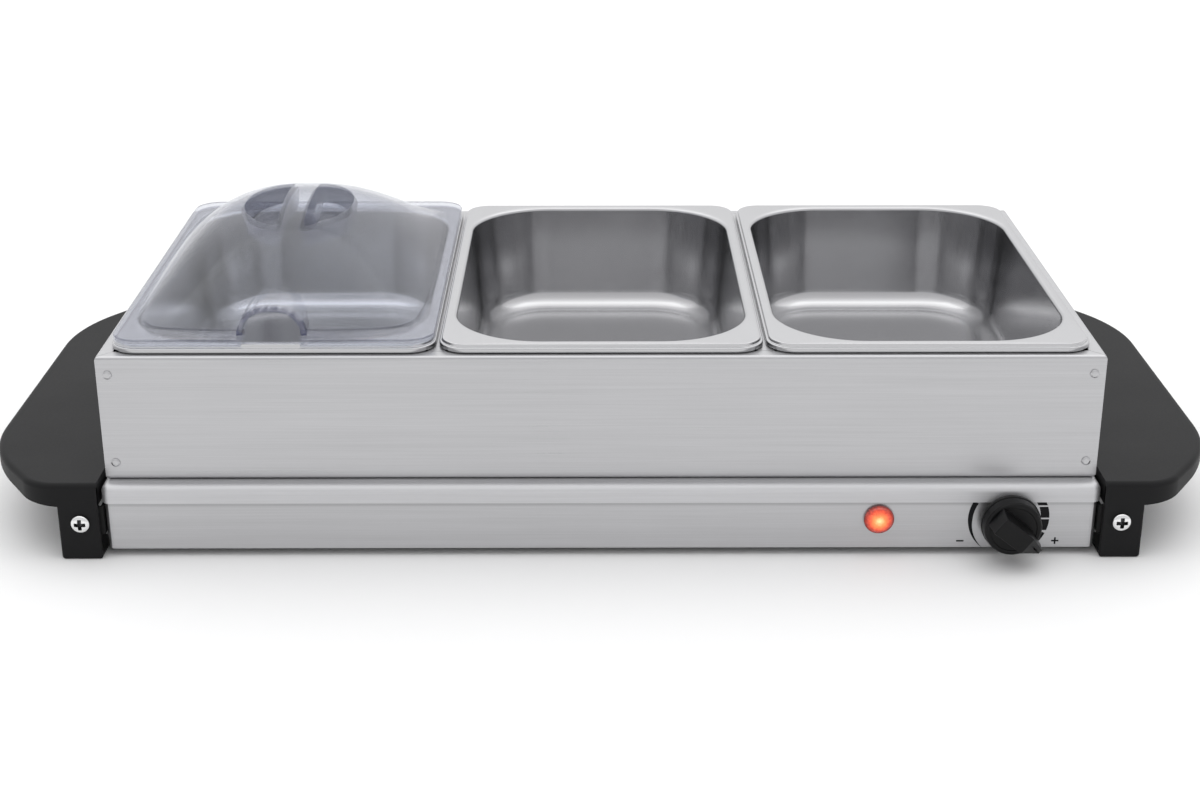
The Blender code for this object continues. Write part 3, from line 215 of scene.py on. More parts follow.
def mesh_object(name, patches):
    """A mesh object from patches, with doubles merged and faces turned outwards."""
    points, faces = merged(patches)
    mesh = bpy.data.meshes.new(name)
    mesh.from_pydata(points.tolist(), [], faces)
    work = bmesh.new()
    work.from_mesh(mesh)
    bmesh.ops.remove_doubles(work, verts=work.verts, dist=0.002 * MM)
    bmesh.ops.dissolve_degenerate(work, edges=work.edges, dist=0.001 * MM)
    bmesh.ops.recalc_face_normals(work, faces=work.faces)
    work.to_mesh(mesh)
    work.free()
    item = bpy.data.objects.new(name, mesh)
    bpy.context.scene.collection.objects.link(item)
    return item


def carve(item, tool, operation):
    """Apply a Boolean with a tool object, then remove the tool."""
    modifier = item.modifiers.new("carve", "BOOLEAN")
    modifier.operation = operation
    modifier.object = tool
    modifier.solver = "EXACT"
    bpy.context.view_layer.update()
    evaluated = item.evaluated_get(bpy.context.evaluated_depsgraph_get())
    result = bpy.data.meshes.new_from_object(evaluated)
    item.modifiers.clear()
    item.data = result
    bpy.data.objects.remove(tool, do_unlink=True)


def settle(item, body, material, replaced=(), smooth_deg=32.0, bevel=0.0):
    """Shade, finish and seat a piece on its body, in place of the solids it stands for."""
    item.data.shade_smooth()
    item.data.set_sharp_from_angle(angle=math.radians(smooth_deg))
    item.data.materials.clear()
    item.data.materials.append(material)
    if bevel:
        rounding = item.modifiers.new("edges", "BEVEL")
        rounding.width = bevel
        rounding.segments = 3
        rounding.limit_method = "ANGLE"
        rounding.angle_limit = math.radians(smooth_deg)
    even = item.modifiers.new("even", "WEIGHTED_NORMAL")
    even.keep_sharp = True
    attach(item, body)
    if replaced:
        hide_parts(*replaced)
    return item


def dress(names, material):
    """Give solids a finish without touching their shape."""
    for name in names:
        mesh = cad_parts[name].data
        mesh.materials.clear()
        mesh.materials.append(material)


# -------------------------------------------------------------------- finishes

class Value:
    """A socket of a finish. Arithmetic on it adds Math nodes."""

    def __init__(self, finish, socket):
        self.finish = finish
        self.socket = socket

    def math(self, operation, first, second=0.0):
        """One Math node on two numbers or sockets."""
        return self.finish.node("ShaderNodeMath", {"operation": operation}, {0: first, 1: second})

    def __add__(self, other):
        return self.math("ADD", self, other)

    def __radd__(self, other):
        return self.math("ADD", other, self)

    def __sub__(self, other):
        return self.math("SUBTRACT", self, other)

    def __rsub__(self, other):
        return self.math("SUBTRACT", other, self)

    def __mul__(self, other):
        return self.math("MULTIPLY", self, other)

    def __rmul__(self, other):
        return self.math("MULTIPLY", other, self)

    def __pow__(self, other):
        return self.math("POWER", self, other)

    def __abs__(self):
        return self.math("ABSOLUTE", self)

    def __gt__(self, other):
        return self.math("GREATER_THAN", self, other)


class Finish:
    """Builds the nodes of one material."""

    def __init__(self, name):
        self.material = bpy.data.materials.new(name)
        self.material.use_nodes = True
        self.tree = self.material.node_tree
        self.tree.nodes.clear()
        self.place = self.node("ShaderNodeTexCoord", output="Object")

    def node(self, kind, settings=None, inputs=None, output=0):
        """Add a node: its settings first, then its sockets' values or links."""
        made = self.tree.nodes.new(kind)
        for key, value in (settings or {}).items():
            if key == "stops":
                self.set_stops(made.color_ramp, value)
            else:
                setattr(made, key, value)
        for key, value in (inputs or {}).items():
            if isinstance(value, Value):
                self.tree.links.new(value.socket, made.inputs[key])
            else:
                made.inputs[key].default_value = value
        return Value(self, made.outputs[output]) if len(made.outputs) else None

    @staticmethod
    def set_stops(ramp, stops):
        """Fill a colour ramp with (position, colour) pairs."""
        while len(ramp.elements) < len(stops):
            ramp.elements.new(1.0)
        for element, (position, colour) in zip(ramp.elements, stops):
            element.position = position
            element.color = (*colour, 1.0)

    def scaled(self, scale):
        """The piece's own coordinates in metres, times a scale on each axis."""
        return self.node("ShaderNodeMapping", {}, {"Vector": self.place, "Scale": scale})

    def noise(self, scale, detail=3.0, roughness=0.55):
        """Noise from 0 to 1 with that many cells to the metre on each axis."""
        inputs = {"Vector": self.scaled(scale), "Scale": 1.0, "Detail": detail, "Roughness": roughness}
        return self.node("ShaderNodeTexNoise", {}, inputs)

    def held(self, value):
        """A number held between 0 and 1."""
        return self.node("ShaderNodeClamp", {}, {0: value})

    def axes(self, vector):
        """The three numbers of a vector."""
        parts = self.node("ShaderNodeSeparateXYZ", {}, {0: vector})
        return [Value(self, socket) for socket in parts.socket.node.outputs]

    def blend(self, factor, first, second):
        """A colour between two."""
        inputs = {0: factor, 6: opaque(first), 7: opaque(second)}
        return self.node("ShaderNodeMix", {"data_type": "RGBA", "blend_type": "MIX"}, inputs, output=2)

    def ramp(self, factor, stops):
        """A colour from a list of (position, colour) stops."""
        return self.node("ShaderNodeValToRGB", {"stops": stops}, {0: factor})

    def bump(self, height, strength, distance):
        """A normal from a height pattern."""
        return self.node("ShaderNodeBump", {}, {"Height": height, "Strength": strength, "Distance": distance})

    def principled(self, inputs):
        """The surface shader."""
        return self.node("ShaderNodeBsdfPrincipled", {}, inputs)

    def done(self, shader):
        """Connect the shader and give back the material."""
        self.node("ShaderNodeOutputMaterial", {}, {"Surface": shader})
        return self.material


def opaque(colour):
    """A colour with its alpha, or a socket as it is."""
    return colour if isinstance(colour, Value) else (*colour, 1.0)


def shade(colour, factor):
    """A colour made lighter or darker."""
    return tuple(min(channel * factor, 1.0) for channel in colour)


def brushed_steel(name, colour, roughness=0.3, painted_shadow_from=None):
    """Sheet steel with fine straight grain along X, and along Y on faces that look along X."""
    make = Finish(name)
    facing = make.node("ShaderNodeNewGeometry", output="True Normal")
    end_on = abs(make.axes(facing)[0]) > 0.7
    fine_x = make.noise((14, 1500, 1500), 2.0)
    fine_y = make.noise((1500, 14, 1500), 2.0)
    fine = fine_x * (1 - end_on) + fine_y * end_on
    streak_x = make.noise((3, 300, 300), 2.0)
    streak_y = make.noise((300, 3, 300), 2.0)
    streak = streak_x * (1 - end_on) + streak_y * end_on
    cloud = make.noise((7, 7, 9), 2.0)
    tone = fine * 0.5 + streak * 0.3 + cloud * 0.2
    # Painted shadow: the steel darkens fully at and above this level and fades back over 3.2 mm below it, as
    # shade under an overhanging edge.
    if painted_shadow_from is not None:
        drop = (painted_shadow_from - make.axes(make.place)[2]) * (1 / (3.2 * MM))
        tone = tone - make.held(1 - drop) ** 2.0 * 2.2
    inputs = {
        "Base Color": make.blend(tone, shade(colour, 0.8), shade(colour, 1.2)),
        "Metallic": 0.88,
        "Roughness": fine * 0.14 + cloud * 0.08 + (roughness - 0.1),
        "Normal": make.bump(fine * 0.7 + streak * 0.3, 0.16, 0.06 * MM),
    }
    return make.done(make.principled(inputs))


def drawn_steel(name, colour, roughness=0.2):
    """Deep-drawn pan steel: satin, with faint crossing polish lines."""
    make = Finish(name)
    lines_a = make.noise((700, 40, 700), 2.0)
    lines_b = make.noise((60, 900, 60), 2.0)
    cloud = make.noise((12, 12, 18), 3.0)
    polish = lines_a * 0.5 + lines_b * 0.5
    inputs = {
        "Base Color": make.blend(polish * 0.6 + cloud * 0.4, shade(colour, 0.92), shade(colour, 1.07)),
        "Metallic": 1.0,
        "Roughness": polish * 0.08 + cloud * 0.1 + (roughness - 0.09),
        "Normal": make.bump(polish * 0.6 + cloud * 0.4, 0.03, 0.05 * MM),
    }
    return make.done(make.principled(inputs))


def moulded_plastic(name, colour, roughness=0.5, grain=1400.0, depth=0.25, shine=0.12):
    """Moulded plastic with a fine spark-eroded texture and faint sheen changes."""
    make = Finish(name)
    pits = make.noise((grain, grain, grain), 2.0)
    cloud = make.noise((20, 20, 20), 3.0)
    inputs = {
        "Base Color": make.blend(pits * 0.5 + cloud * 0.5, shade(colour, 0.8), shade(colour, 1.25)),
        "Roughness": pits * 0.12 + cloud * 0.08 + (roughness - 0.1),
        "Specular IOR Level": shine,
        "Normal": make.bump(pits, depth, 0.05 * MM),
    }
    return make.done(make.principled(inputs))


def bright_metal(name, colour, roughness=0.14, cross=None):
    """Plated or turned metal with faint handling marks.

    A cross, given as (distance from the middle plane, level, radius) of a screw, paints
    shade into the two arms of its recess.
    """
    make = Finish(name)
    marks = make.noise((500, 500, 500), 4.0, 0.65)
    cloud = make.noise((90, 90, 90), 2.0)
    tone = make.blend(cloud, shade(colour, 0.9), shade(colour, 1.08))
    if cross:
        x, _, z = make.axes(make.place)
        u = abs(abs(x) - cross[0]) * (1 / cross[2])
        v = abs(z - cross[1]) * (1 / cross[2])
        # Painted shade: the recess's two arms are coloured near black.
        arms = [make.held((0.2 - a) * 14.0) * make.held((0.64 - b) * 9.0) for a, b in ((u, v), (v, u))]
        tone = make.blend(make.held(arms[0] + arms[1]), tone, (0.04, 0.04, 0.042))
    inputs = {
        "Base Color": tone,
        "Metallic": 1.0,
        "Roughness": marks * 0.12 + cloud * 0.06 + (roughness - 0.08),
        "Normal": make.bump(marks, 0.08, 0.05 * MM),
    }
    return make.done(make.principled(inputs))


def fired_body(name, colour):
    """Unglazed ceramic or pale moulding with a dry speckle."""
    make = Finish(name)
    speck = make.noise((900, 900, 900), 3.0, 0.7)
    cloud = make.noise((60, 60, 60), 2.0)
    inputs = {
        "Base Color": make.blend(speck * 0.4 + cloud * 0.6, shade(colour, 0.88), shade(colour, 1.06)),
        "Roughness": speck * 0.2 + 0.5,
        "Normal": make.bump(speck, 0.15, 0.05 * MM),
    }
    return make.done(make.principled(inputs))


def clear_plastic(name, tint, edge, bead_front, flange):
    """Clear moulding: light passes it face on, and it greys and shines towards its edges.

    The notch's thick rim, which lies just behind bead_front and over the flange, gets
    painted shade, streaked, and darkest at its two feet. The pockets' steep walls and the
    lip's rounded edge get painted shade too, standing in for the dark look that
    refraction and shade give the edges of clear mouldings.
    """
    make = Finish(name)
    facing = make.node("ShaderNodeLayerWeight", {}, {"Blend": 0.5}, output="Facing")
    haze = make.noise((30, 30, 30), 3.0)
    streaks = make.noise((260, 60, 260), 2.0, 0.6)
    _, y, z = make.axes(make.place)
    # Painted shade: masks for the notch's rim, its feet, the pockets' steep walls and the lip's edge, where
    # the moulding is darkened and clouded.
    bead = make.held(2.2 - (y - bead_front) * (1 / (2.4 * MM))) * make.held((z - flange) * (1 / (0.6 * MM)))
    foot = bead * make.held(1.6 - (z - flange) * (1 / (2.6 * MM)))
    rim_streak_shade = make.held(streaks * 2.6 - 0.5) * bead
    normal = make.node("ShaderNodeNewGeometry", output="Normal")
    steep = make.held((0.62 - abs(make.axes(normal)[2])) * 5.0)
    pocket = steep * make.held((z - flange) * (1 / (2.0 * MM)) - 12.0)
    lip = make.held(1.3 - abs(z - flange + 0.75 * MM) * (1 / (0.55 * MM))) * (0.4 + streaks)
    painted_shade = make.held(rim_streak_shade * 0.75 + foot * 0.5 + pocket * 0.42 + lip * 0.6)
    veil = make.held(facing ** 4.4 * 0.42 + haze * 0.03 + 0.005 + painted_shade)
    grey = make.blend(haze, shade(edge, 1.5), edge)
    # Painted shade darkens the wall colour towards blue-black.
    blue = make.blend(make.held(painted_shade * 1.6), grey, (0.06, 0.065, 0.12))
    wall = make.principled({"Base Color": blue, "Roughness": haze * 0.05 + 0.06})
    see_through = make.node("ShaderNodeBsdfTransparent", {}, {"Color": opaque(tint)})
    sheet = make.node("ShaderNodeMixShader", {}, {0: veil, 1: see_through, 2: wall})
    gloss = make.node("ShaderNodeBsdfGlossy", {}, {"Color": (1.0, 1.0, 1.0, 1.0), "Roughness": 0.07})
    mirror = facing ** 5.0 * 0.35 + 0.03
    return make.done(make.node("ShaderNodeMixShader", {}, {0: mirror, 1: sheet, 2: gloss}))


def lamp_red(name, centre, radius):
    """Lit red lens: a pale core, an orange ring and a deep red rim, by distance from its middle."""
    make = Finish(name)
    x, _, z = make.axes(make.place)
    spread = ((x - centre[0]) ** 2.0 + (z - centre[2]) ** 2.0) ** 0.5 * (1 / radius)
    ripple = make.noise((700, 200, 700), 2.0)
    reach = spread + (ripple - 0.5) * 0.3
    colour = make.ramp(reach, [(0.0, (1.0, 0.62, 0.3)), (0.35, (0.9, 0.2, 0.05)), (0.75, (0.6, 0.04, 0.015)),
                               (1.0, (0.12, 0.006, 0.004))])
    glow = make.ramp(reach, [(0.0, (1.0, 0.6, 0.26)), (0.3, (0.9, 0.28, 0.07)), (0.65, (0.5, 0.05, 0.015)),
                             (0.95, (0.05, 0.0, 0.0))])
    inputs = {
        "Base Color": colour, "Roughness": ripple * 0.1 + 0.12, "Emission Color": glow,
        "Emission Strength": 0.7, "Coat Weight": 0.6, "Coat Roughness": 0.05,
        "Normal": make.bump(ripple, 0.3, 0.3 * MM),
    }
    return make.done(make.principled(inputs))


# ----------------------------------------------------------------------- sizes

def length(name, description, default):
    """A length in metres for the sidebar."""
    return bpy.props.FloatProperty(name=name, description=description, default=default, min=0.0,
                                   precision=4, subtype="DISTANCE", unit="LENGTH")


def colour(name, description, default):
    """A linear colour for the sidebar."""
    return bpy.props.FloatVectorProperty(name=name, description=description, default=default,
                                         subtype="COLOR", size=3, min=0.0, max=1.0)


class PanSizes(bpy.types.PropertyGroup):
    """Sizes of a drawn pan."""

    opening_x: length("Half opening X", "Half the opening from left to right", 79 * MM)
    opening_y: length("Half opening Y", "Half the opening from front to back", 124.5 * MM)
    opening_corner: length("Opening corner", "Corner radius of the opening", 47 * MM)
    rim_corner: length("Rim corner", "Corner radius of the outer rim", 15 * MM)
    rim_height: length("Rim height", "Height of the rim over the frame", 4.6 * MM)
    depth: length("Depth", "From the rim to the floor inside", 65 * MM)
    draft: length("Draft", "How far each wall leans in", 5 * MM)
    fillet: length("Floor fillet", "Radius between wall and floor", 12 * MM)
    wall: length("Wall", "Sheet thickness", 0.8 * MM)


class LidSizes(bpy.types.PropertyGroup):
    """Sizes of the clear lid."""

    dome_x: length("Half dome X", "Half the dome from left to right at its foot", 79.3 * MM)
    dome_y: length("Half dome Y", "Half the dome from front to back at its foot", 116.5 * MM)
    dome_height: length("Dome height", "Height of the crown over the foot", 41.4 * MM)
    rim_corner: length("Rim corner", "Corner radius of the rim", 15 * MM)
    wall: length("Wall", "Thickness of the moulding", 2 * MM)
    pocket_x: length("Half pocket X", "Half width of both finger pockets together", 31 * MM)
    pocket_y: length("Half pocket Y", "Half length of the finger pockets", 43 * MM)
    pocket_depth: length("Pocket depth", "Depth of the finger pockets", 15 * MM)
    grip: length("Half grip", "Half the width of the grip bar", 7.5 * MM)
    notch_width: length("Half notch", "Half the width of the spoon notch", 15.5 * MM)
    notch_top: length("Notch top", "Top of the spoon notch over the frame", 20.5 * MM)
    notch_rim: length("Notch rim", "Thickness of the rim round the notch", 3 * MM)


class BodySizes(bpy.types.PropertyGroup):
    """Sizes of the sheet metal, the handles and the controls."""

    sheet: length("Sheet", "Thickness of the sheet panels", 1 * MM)
    frame_bend: length("Frame bend", "Outer bend radius of the frame panels", 1.8 * MM)
    frame_flange: length("Frame flange", "Depth of the folded flanges", 8 * MM)
    plate_bend: length("Plate bend", "Bend radius of the warming plate's edge", 4.4 * MM)
    plate_corner: length("Plate corner", "Corner radius of the warming plate", 5 * MM)
    handle_edge: length("Handle edge", "Radius of the grip's upper edge", 3 * MM)
    handle_wall: length("Handle wall", "Wall thickness of the handles", 2.8 * MM)
    screw_head: length("Screw head", "Radius of the leg screws' heads", 5 * MM)
    rivet_head: length("Rivet head", "Radius of the rivets' heads", 2.35 * MM)
    dial_radius: length("Dial radius", "Outer radius of the printed heat scale", 21.8 * MM)


class Colours(bpy.types.PropertyGroup):
    """Linear colours of the finishes."""

    sheet_steel: colour("Sheet steel", "Brushed panels", (0.49, 0.49, 0.50))
    pan_steel: colour("Pan steel", "Drawn pans", (0.50, 0.50, 0.51))
    black: colour("Black plastic", "Handles", (0.010, 0.010, 0.0105))
    knob: colour("Knob", "Heat knob", (0.003, 0.003, 0.0033))
    lid_tint: colour("Lid tint", "Light that passes the lid", (0.93, 0.94, 0.965))
    lid_edge: colour("Lid edge", "Lid seen edge on", (0.27, 0.272, 0.31))
    print_ink: colour("Print", "Printed heat scale", (0.008, 0.008, 0.009))
    floor: colour("Floor", "Studio floor", (0.86, 0.86, 0.86))


def sizes(kind):
    """The scene's sizes of one kind."""
    return getattr(bpy.context.scene, "warmer_" + kind)


# ------------------------------------------------------------------------ pans

def pan_profile(pan):
    """Half section of a pan as (offset from the opening, level, corner radius) from its
    middle out over the rim and back underneath."""
    rim = pan.rim_height
    floor = rim - pan.depth
    low_edge = -pan.draft - pan.fillet
    inside = filleted(
        [(low_edge - 4 * MM, floor), (-pan.draft, floor), (-0.2 * MM, rim), (4.9 * MM, rim)],
        [pan.fillet, 2.2 * MM], 10)
    lip = filleted(
        [(4.9 * MM, rim), (5.4 * MM, rim - 0.3 * MM), (5.5 * MM, rim - 1.9 * MM), (6.9 * MM, rim - 2.0 * MM),
         (6.9 * MM, 0.2 * MM), (6.2 * MM, 0.0), (5.8 * MM, 0.0), (5.8 * MM, rim - 2.9 * MM),
         (4.7 * MM, rim - 2.6 * MM), (4.5 * MM, rim - pan.wall)],
        [0.35 * MM, 0.5 * MM, 0.7 * MM, 0.4 * MM, 0.2 * MM, 0.1 * MM, 0.4 * MM, 0.3 * MM], 6)
    back = filleted(
        [(4.5 * MM, rim - pan.wall), (0.6 * MM, rim - pan.wall), (pan.wall - pan.draft, floor - pan.wall),
         (low_edge - 4 * MM, floor - pan.wall)],
        [1.4 * MM, pan.fillet + pan.wall], 10)
    return np.concatenate((inside, lip[1:], back[1:]))


def pan_radius(pan, offset):
    """Corner radius at an offset: concentric with the opening inside, and near the rim's
    own corner outside, with a smooth change over the flat flange."""
    share = np.clip((offset - 2 * MM) / (2.5 * MM), 0, 1)
    outer = pan.rim_corner - (6.9 * MM - offset)
    return (pan.opening_corner + offset) * (1 - share) + outer * share


def food_pan(name, node):
    """A drawn pan: its section carried round rounded rectangles."""
    pan = sizes("pan")
    profile = pan_profile(pan)
    offset = profile[:, 0]
    half = np.array([pan.opening_x, pan.opening_y]) + offset[:, None]
    loops = rounded_rectangle(half, pan_radius(pan, offset), middle(node), 24)
    base = high(node)[2] - pan.rim_height
    return mesh_object(name, [skin(at_levels(loops, base + profile[:, 1]), caps="first last")])


# ------------------------------------------------------------------------- lid

class Dome:
    """A pillow dome: an arch along X times an arch along Y, cut off where it meets the flange.

    Its height over a plan point is top * ((1 - |x / a|^2.5) (1 - |y / b|^2) - c) / (1 - c),
    where a and b are set so that it vanishes at the half sizes on the two axes.
    """

    powers = np.array([2.5, 2.0])
    cut = 0.06

    def __init__(self, half, centre, foot, top):
        self.half = np.asarray(half, float)
        self.reach = self.half / (1 - self.cut) ** (1 / self.powers)
        self.centre = np.asarray(centre, float)[:2]
        self.foot = foot
        self.top = top

    def rise(self, plan):
        """Share of the full height over plan points, below nothing outside the foot."""
        arches = 1 - np.abs((plan - self.centre) / self.reach) ** self.powers
        return (arches[..., 0] * arches[..., 1] - self.cut) / (1 - self.cut)

    def over(self, plan):
        """Plan points lifted onto the dome."""
        level = self.foot + self.top * np.maximum(self.rise(plan), 0)
        return np.concatenate((plan, level[..., None]), axis=-1)

    def outline(self):
        """Plan outline of the foot: each ray from the centre is halved until the rise is nothing."""
        rays = rounded_rectangle(self.half, 38 * MM, (0, 0), LID_CORNER_STEPS, LID_SIDE_STEPS)[0]
        inside = np.full((len(rays), 1), 0.8)
        outside = np.full((len(rays), 1), 1.1)
        for _ in range(30):
            share = (inside + outside) / 2
            within = self.rise(rays * share + self.centre)[:, None] > 0
            inside = np.where(within, share, inside)
            outside = np.where(within, outside, share)
        return rays * inside

    def rings(self, share):
        """Smaller copies of the foot, lifted onto the dome."""
        plan = self.outline()[None] * np.asarray(share)[:, None, None] + self.centre
        return self.over(plan)


def foot_ring(half, centre, level):
    """The outline of a dome's foot at one level, as a row."""
    plan = Dome(half, centre, 0.0, 1.0).outline() + np.asarray(centre)[:2]
    return at_levels(plan[None], level)


LID_CORNER_STEPS = 20
LID_SIDE_STEPS = 24
CAP_SHARE = 0.56


def half_loop(ring, side):
    """One half of a ring: the left from rear to front, or the right from front to rear."""
    per_quarter = LID_CORNER_STEPS + LID_SIDE_STEPS
    rear = LID_CORNER_STEPS + LID_SIDE_STEPS // 2
    start = rear if side < 0 else rear + 2 * per_quarter
    return np.roll(ring, -start, axis=0)[:2 * per_quarter + 1]


def pocket_edge(lid, hub, side, directions, grow):
    """Distance from a pocket's hub to its edge along plan directions; hub is its distance
    from the lid's middle.

    The edge is half an ellipse closed by a straight side along the grip. The two
    distances are joined by a power mean, (e^-n + c^-n)^(-1/n), which rounds the corners.
    """
    dx, dy = directions[:, 0] * side, directions[:, 1]
    a, b = lid.pocket_x + grow, lid.pocket_y + grow
    qa = (dx / a) ** 2 + (dy / b) ** 2
    qb = hub * dx / a ** 2
    qc = (hub / a) ** 2 - 1
    ellipse = (-qb + np.sqrt(qb ** 2 - qa * qc)) / qa
    chord = np.where(dx < -1e-6, (hub - lid.grip + grow) / np.maximum(-dx, 1e-6), 1e3)
    power = 14.0
    return (ellipse ** -power + chord ** -power) ** (-1 / power)


def pocket_half(lid, dome, side, floor, grow):
    """One half of the dome's top with a finger pocket in it, as a patch.

    Columns follow the half ring and the middle line. Rows run in from them over the dome
    to the pocket's edge, round it, down its leaning wall and over its floor.
    """
    ring = dome.rings([CAP_SHARE])[0][:, :2]
    arc = half_loop(ring, side)
    share = np.linspace(0, 1, 61)[1:-1, None]
    chord = arc[-1] + (arc[0] - arc[-1]) * share
    border = np.concatenate((arc, chord))
    pocket_y = dome.centre[1] - 3 * MM
    reach = (lid.grip + lid.pocket_x) / 2
    hub = np.array([dome.centre[0] + side * reach, pocket_y])
    spokes = border - hub
    directions = spokes / np.linalg.norm(spokes, axis=1, keepdims=True)
    edge = pocket_edge(lid, reach, side, directions, grow)[:, None]
    depth = 15 * MM
    section = filleted([(-2.0 * MM, 0.0), (0.0, 0.0), (2.8 * MM, depth), (9 * MM, depth)],
                       [0.9 * MM, 2.2 * MM], 5)
    inset, drop = section[:, 0], section[:, 1] / depth
    rim = hub + directions * (edge + 2.0 * MM)
    outward = np.linspace(1, 0, 20)[:-1, None, None]
    crown = dome.over(rim + (border - rim) * outward)
    sunk = dome.over(hub + directions * (edge - inset[:, None, None]))
    sunk[..., 2] += (floor - sunk[..., 2]) * drop[:, None]
    return skin(np.concatenate((crown, sunk)), fans="last")


def lid_skin(lid, outer_side):
    """Outer or inner skin of the lid from the lip's edge up over the flange and the dome."""
    node_low, node_high = low("lid"), high("lid")
    centre = middle("lid")
    base = node_low[2] - 3.4 * MM
    flange = base + 7.4 * MM
    rim_half = (node_high - node_low)[:2] / 2
    dome_half = np.array([lid.dome_x, lid.dome_y])
    floor = flange + lid.dome_height - lid.pocket_depth
    if outer_side:
        dome = Dome(dome_half, centre, flange + 0.8 * MM, lid.dome_height)
        grow = 0.0
        rim = filleted([(0.3 * MM, node_low[2]), (0.0, node_low[2] + 0.3 * MM), (0.0, flange),
                        (3.0 * MM, flange)], [0.2 * MM, 0.9 * MM], 6)
        foot = ((2.2 * MM, flange), (1.2 * MM, flange + 0.08 * MM), (0.5 * MM, flange + 0.35 * MM))
    else:
        wall = lid.wall
        dome_half = dome_half - wall
        dome = Dome(dome_half, centre, flange, lid.dome_height - wall + 0.8 * MM)
        grow = wall
        floor -= wall
        seat = base + 4.9 * MM
        rim = np.array([(0.6 * MM, node_low[2]), (0.6 * MM, seat - 0.5 * MM), (0.7 * MM, seat - 0.1 * MM),
                        (1.2 * MM, seat), (3.0 * MM, seat)])
        foot = ((1.0 * MM, seat), (0.3 * MM, seat + 0.1 * MM), (0.0, seat + 0.6 * MM))
    inset = rim[:, :1]
    rows = [at_levels(rounded_rectangle(rim_half - inset, lid.rim_corner - inset[:, 0], centre,
                                        LID_CORNER_STEPS, LID_SIDE_STEPS), rim[:, 1])]
    rows += [foot_ring(dome_half + reach, centre, level) for reach, level in foot]
    rows.append(dome.rings(np.linspace(1, CAP_SHARE, 26)))
    grid = np.concatenate(rows)
    halves = [pocket_half(lid, dome, side, floor, grow) for side in SIDES.values()]
    return grid, halves, dome


def notch_path(lid, grow, foot, steps):
    """The notch's arch as (x, z) from its right foot over the top to its left foot."""
    across = lid.notch_width + grow
    top = lid.notch_top + grow
    corner = 13 * MM + grow
    return filleted([(across, foot), (across, top), (-across, top), (-across, foot)], [corner, corner], steps)


def notch_rim(lid, dome, front, base):
    """Thick rim round the spoon notch: a rounded section carried over the arch, from the
    front face back to where the dome is as high as the arch."""
    inner = notch_path(lid, 0.0, 6.0 * MM, 24)
    outer = notch_path(lid, lid.notch_rim, 6.0 * MM, 24)
    rise = np.clip((base + outer[:, 1] - dome.foot) / dome.top, 0.0, 0.9) * (1 - dome.cut) + dome.cut
    sideways = 1 - np.abs(outer[:, 0] / dome.reach[0]) ** dome.powers[0]
    reach = np.sqrt(1 - rise / sideways)
    back = dome.centre[1] - dome.reach[1] * reach + 2.0 * MM
    face = front + 5.0 * MM
    section = filleted_loop([(0, 0), (1, 0), (1, 1), (0, 1)], [0.22, 0.22, 0.02, 0.02], 5)
    thickness = section[:, 0][None, :, None]
    depth = section[:, 1][None, :, None]
    plan = inner[:, None, :] + (outer - inner)[:, None, :] * thickness
    y = face + (back[:, None, None] - face) * np.where(depth < 0.5, depth * 0.2, depth)
    points = np.concatenate((plan[..., :1] + dome.centre[0], y, plan[..., 1:] + base), axis=-1)
    return skin(points, caps="first last")


def clear_lid():
    """The lid: two skins joined at the lip, cut by the notch, with the notch's thick rim."""
    lid = sizes("lid")
    outer, outer_halves, dome = lid_skin(lid, True)
    inner, inner_halves, _ = lid_skin(lid, False)
    grid = np.concatenate((outer[::-1], inner))
    item = mesh_object("clear_lid", [skin(grid)] + outer_halves + inner_halves)
    base = low("lid")[2] - 3.4 * MM
    front = low("lid")[1]
    rim = mesh_object("notch_rim", [notch_rim(lid, dome, front, base)])
    carve(item, rim, "UNION")
    arch = notch_path(lid, 0.0, 0.0, 24)
    arch = arch + np.array([dome.centre[0], base])
    tool = mesh_object("notch", [extruded(arch, front - 2 * MM, front + 41 * MM, "Y")])
    carve(item, tool, "DIFFERENCE")
    return item


# --------------------------------------------------------------------- handles

def grip_outline(inner, side_x, half_y, inset):
    """Plan of the grip's outer border, inset all round, as an array of points."""
    outer = side_x - inset
    front = half_y - inset
    points = [(inner, -front), (inner + 34.4 * MM - inset * 0.6, -front), (outer, -98.7 * MM + inset * 0.4),
              (outer, 98.7 * MM - inset * 0.4), (inner + 34.4 * MM - inset * 0.6, front), (inner, front)]
    radii = [24 * MM - inset, 100 * MM - inset, 100 * MM - inset, 24 * MM - inset]
    return filleted(points, radii, 14)


GRIP_UNDERSIDE = 30.9 * MM
GRIP_TIP_RISE = 4.6 * MM
LEG_OUTER = 289.8 * MM
LEG_DEPTH = 26 * MM


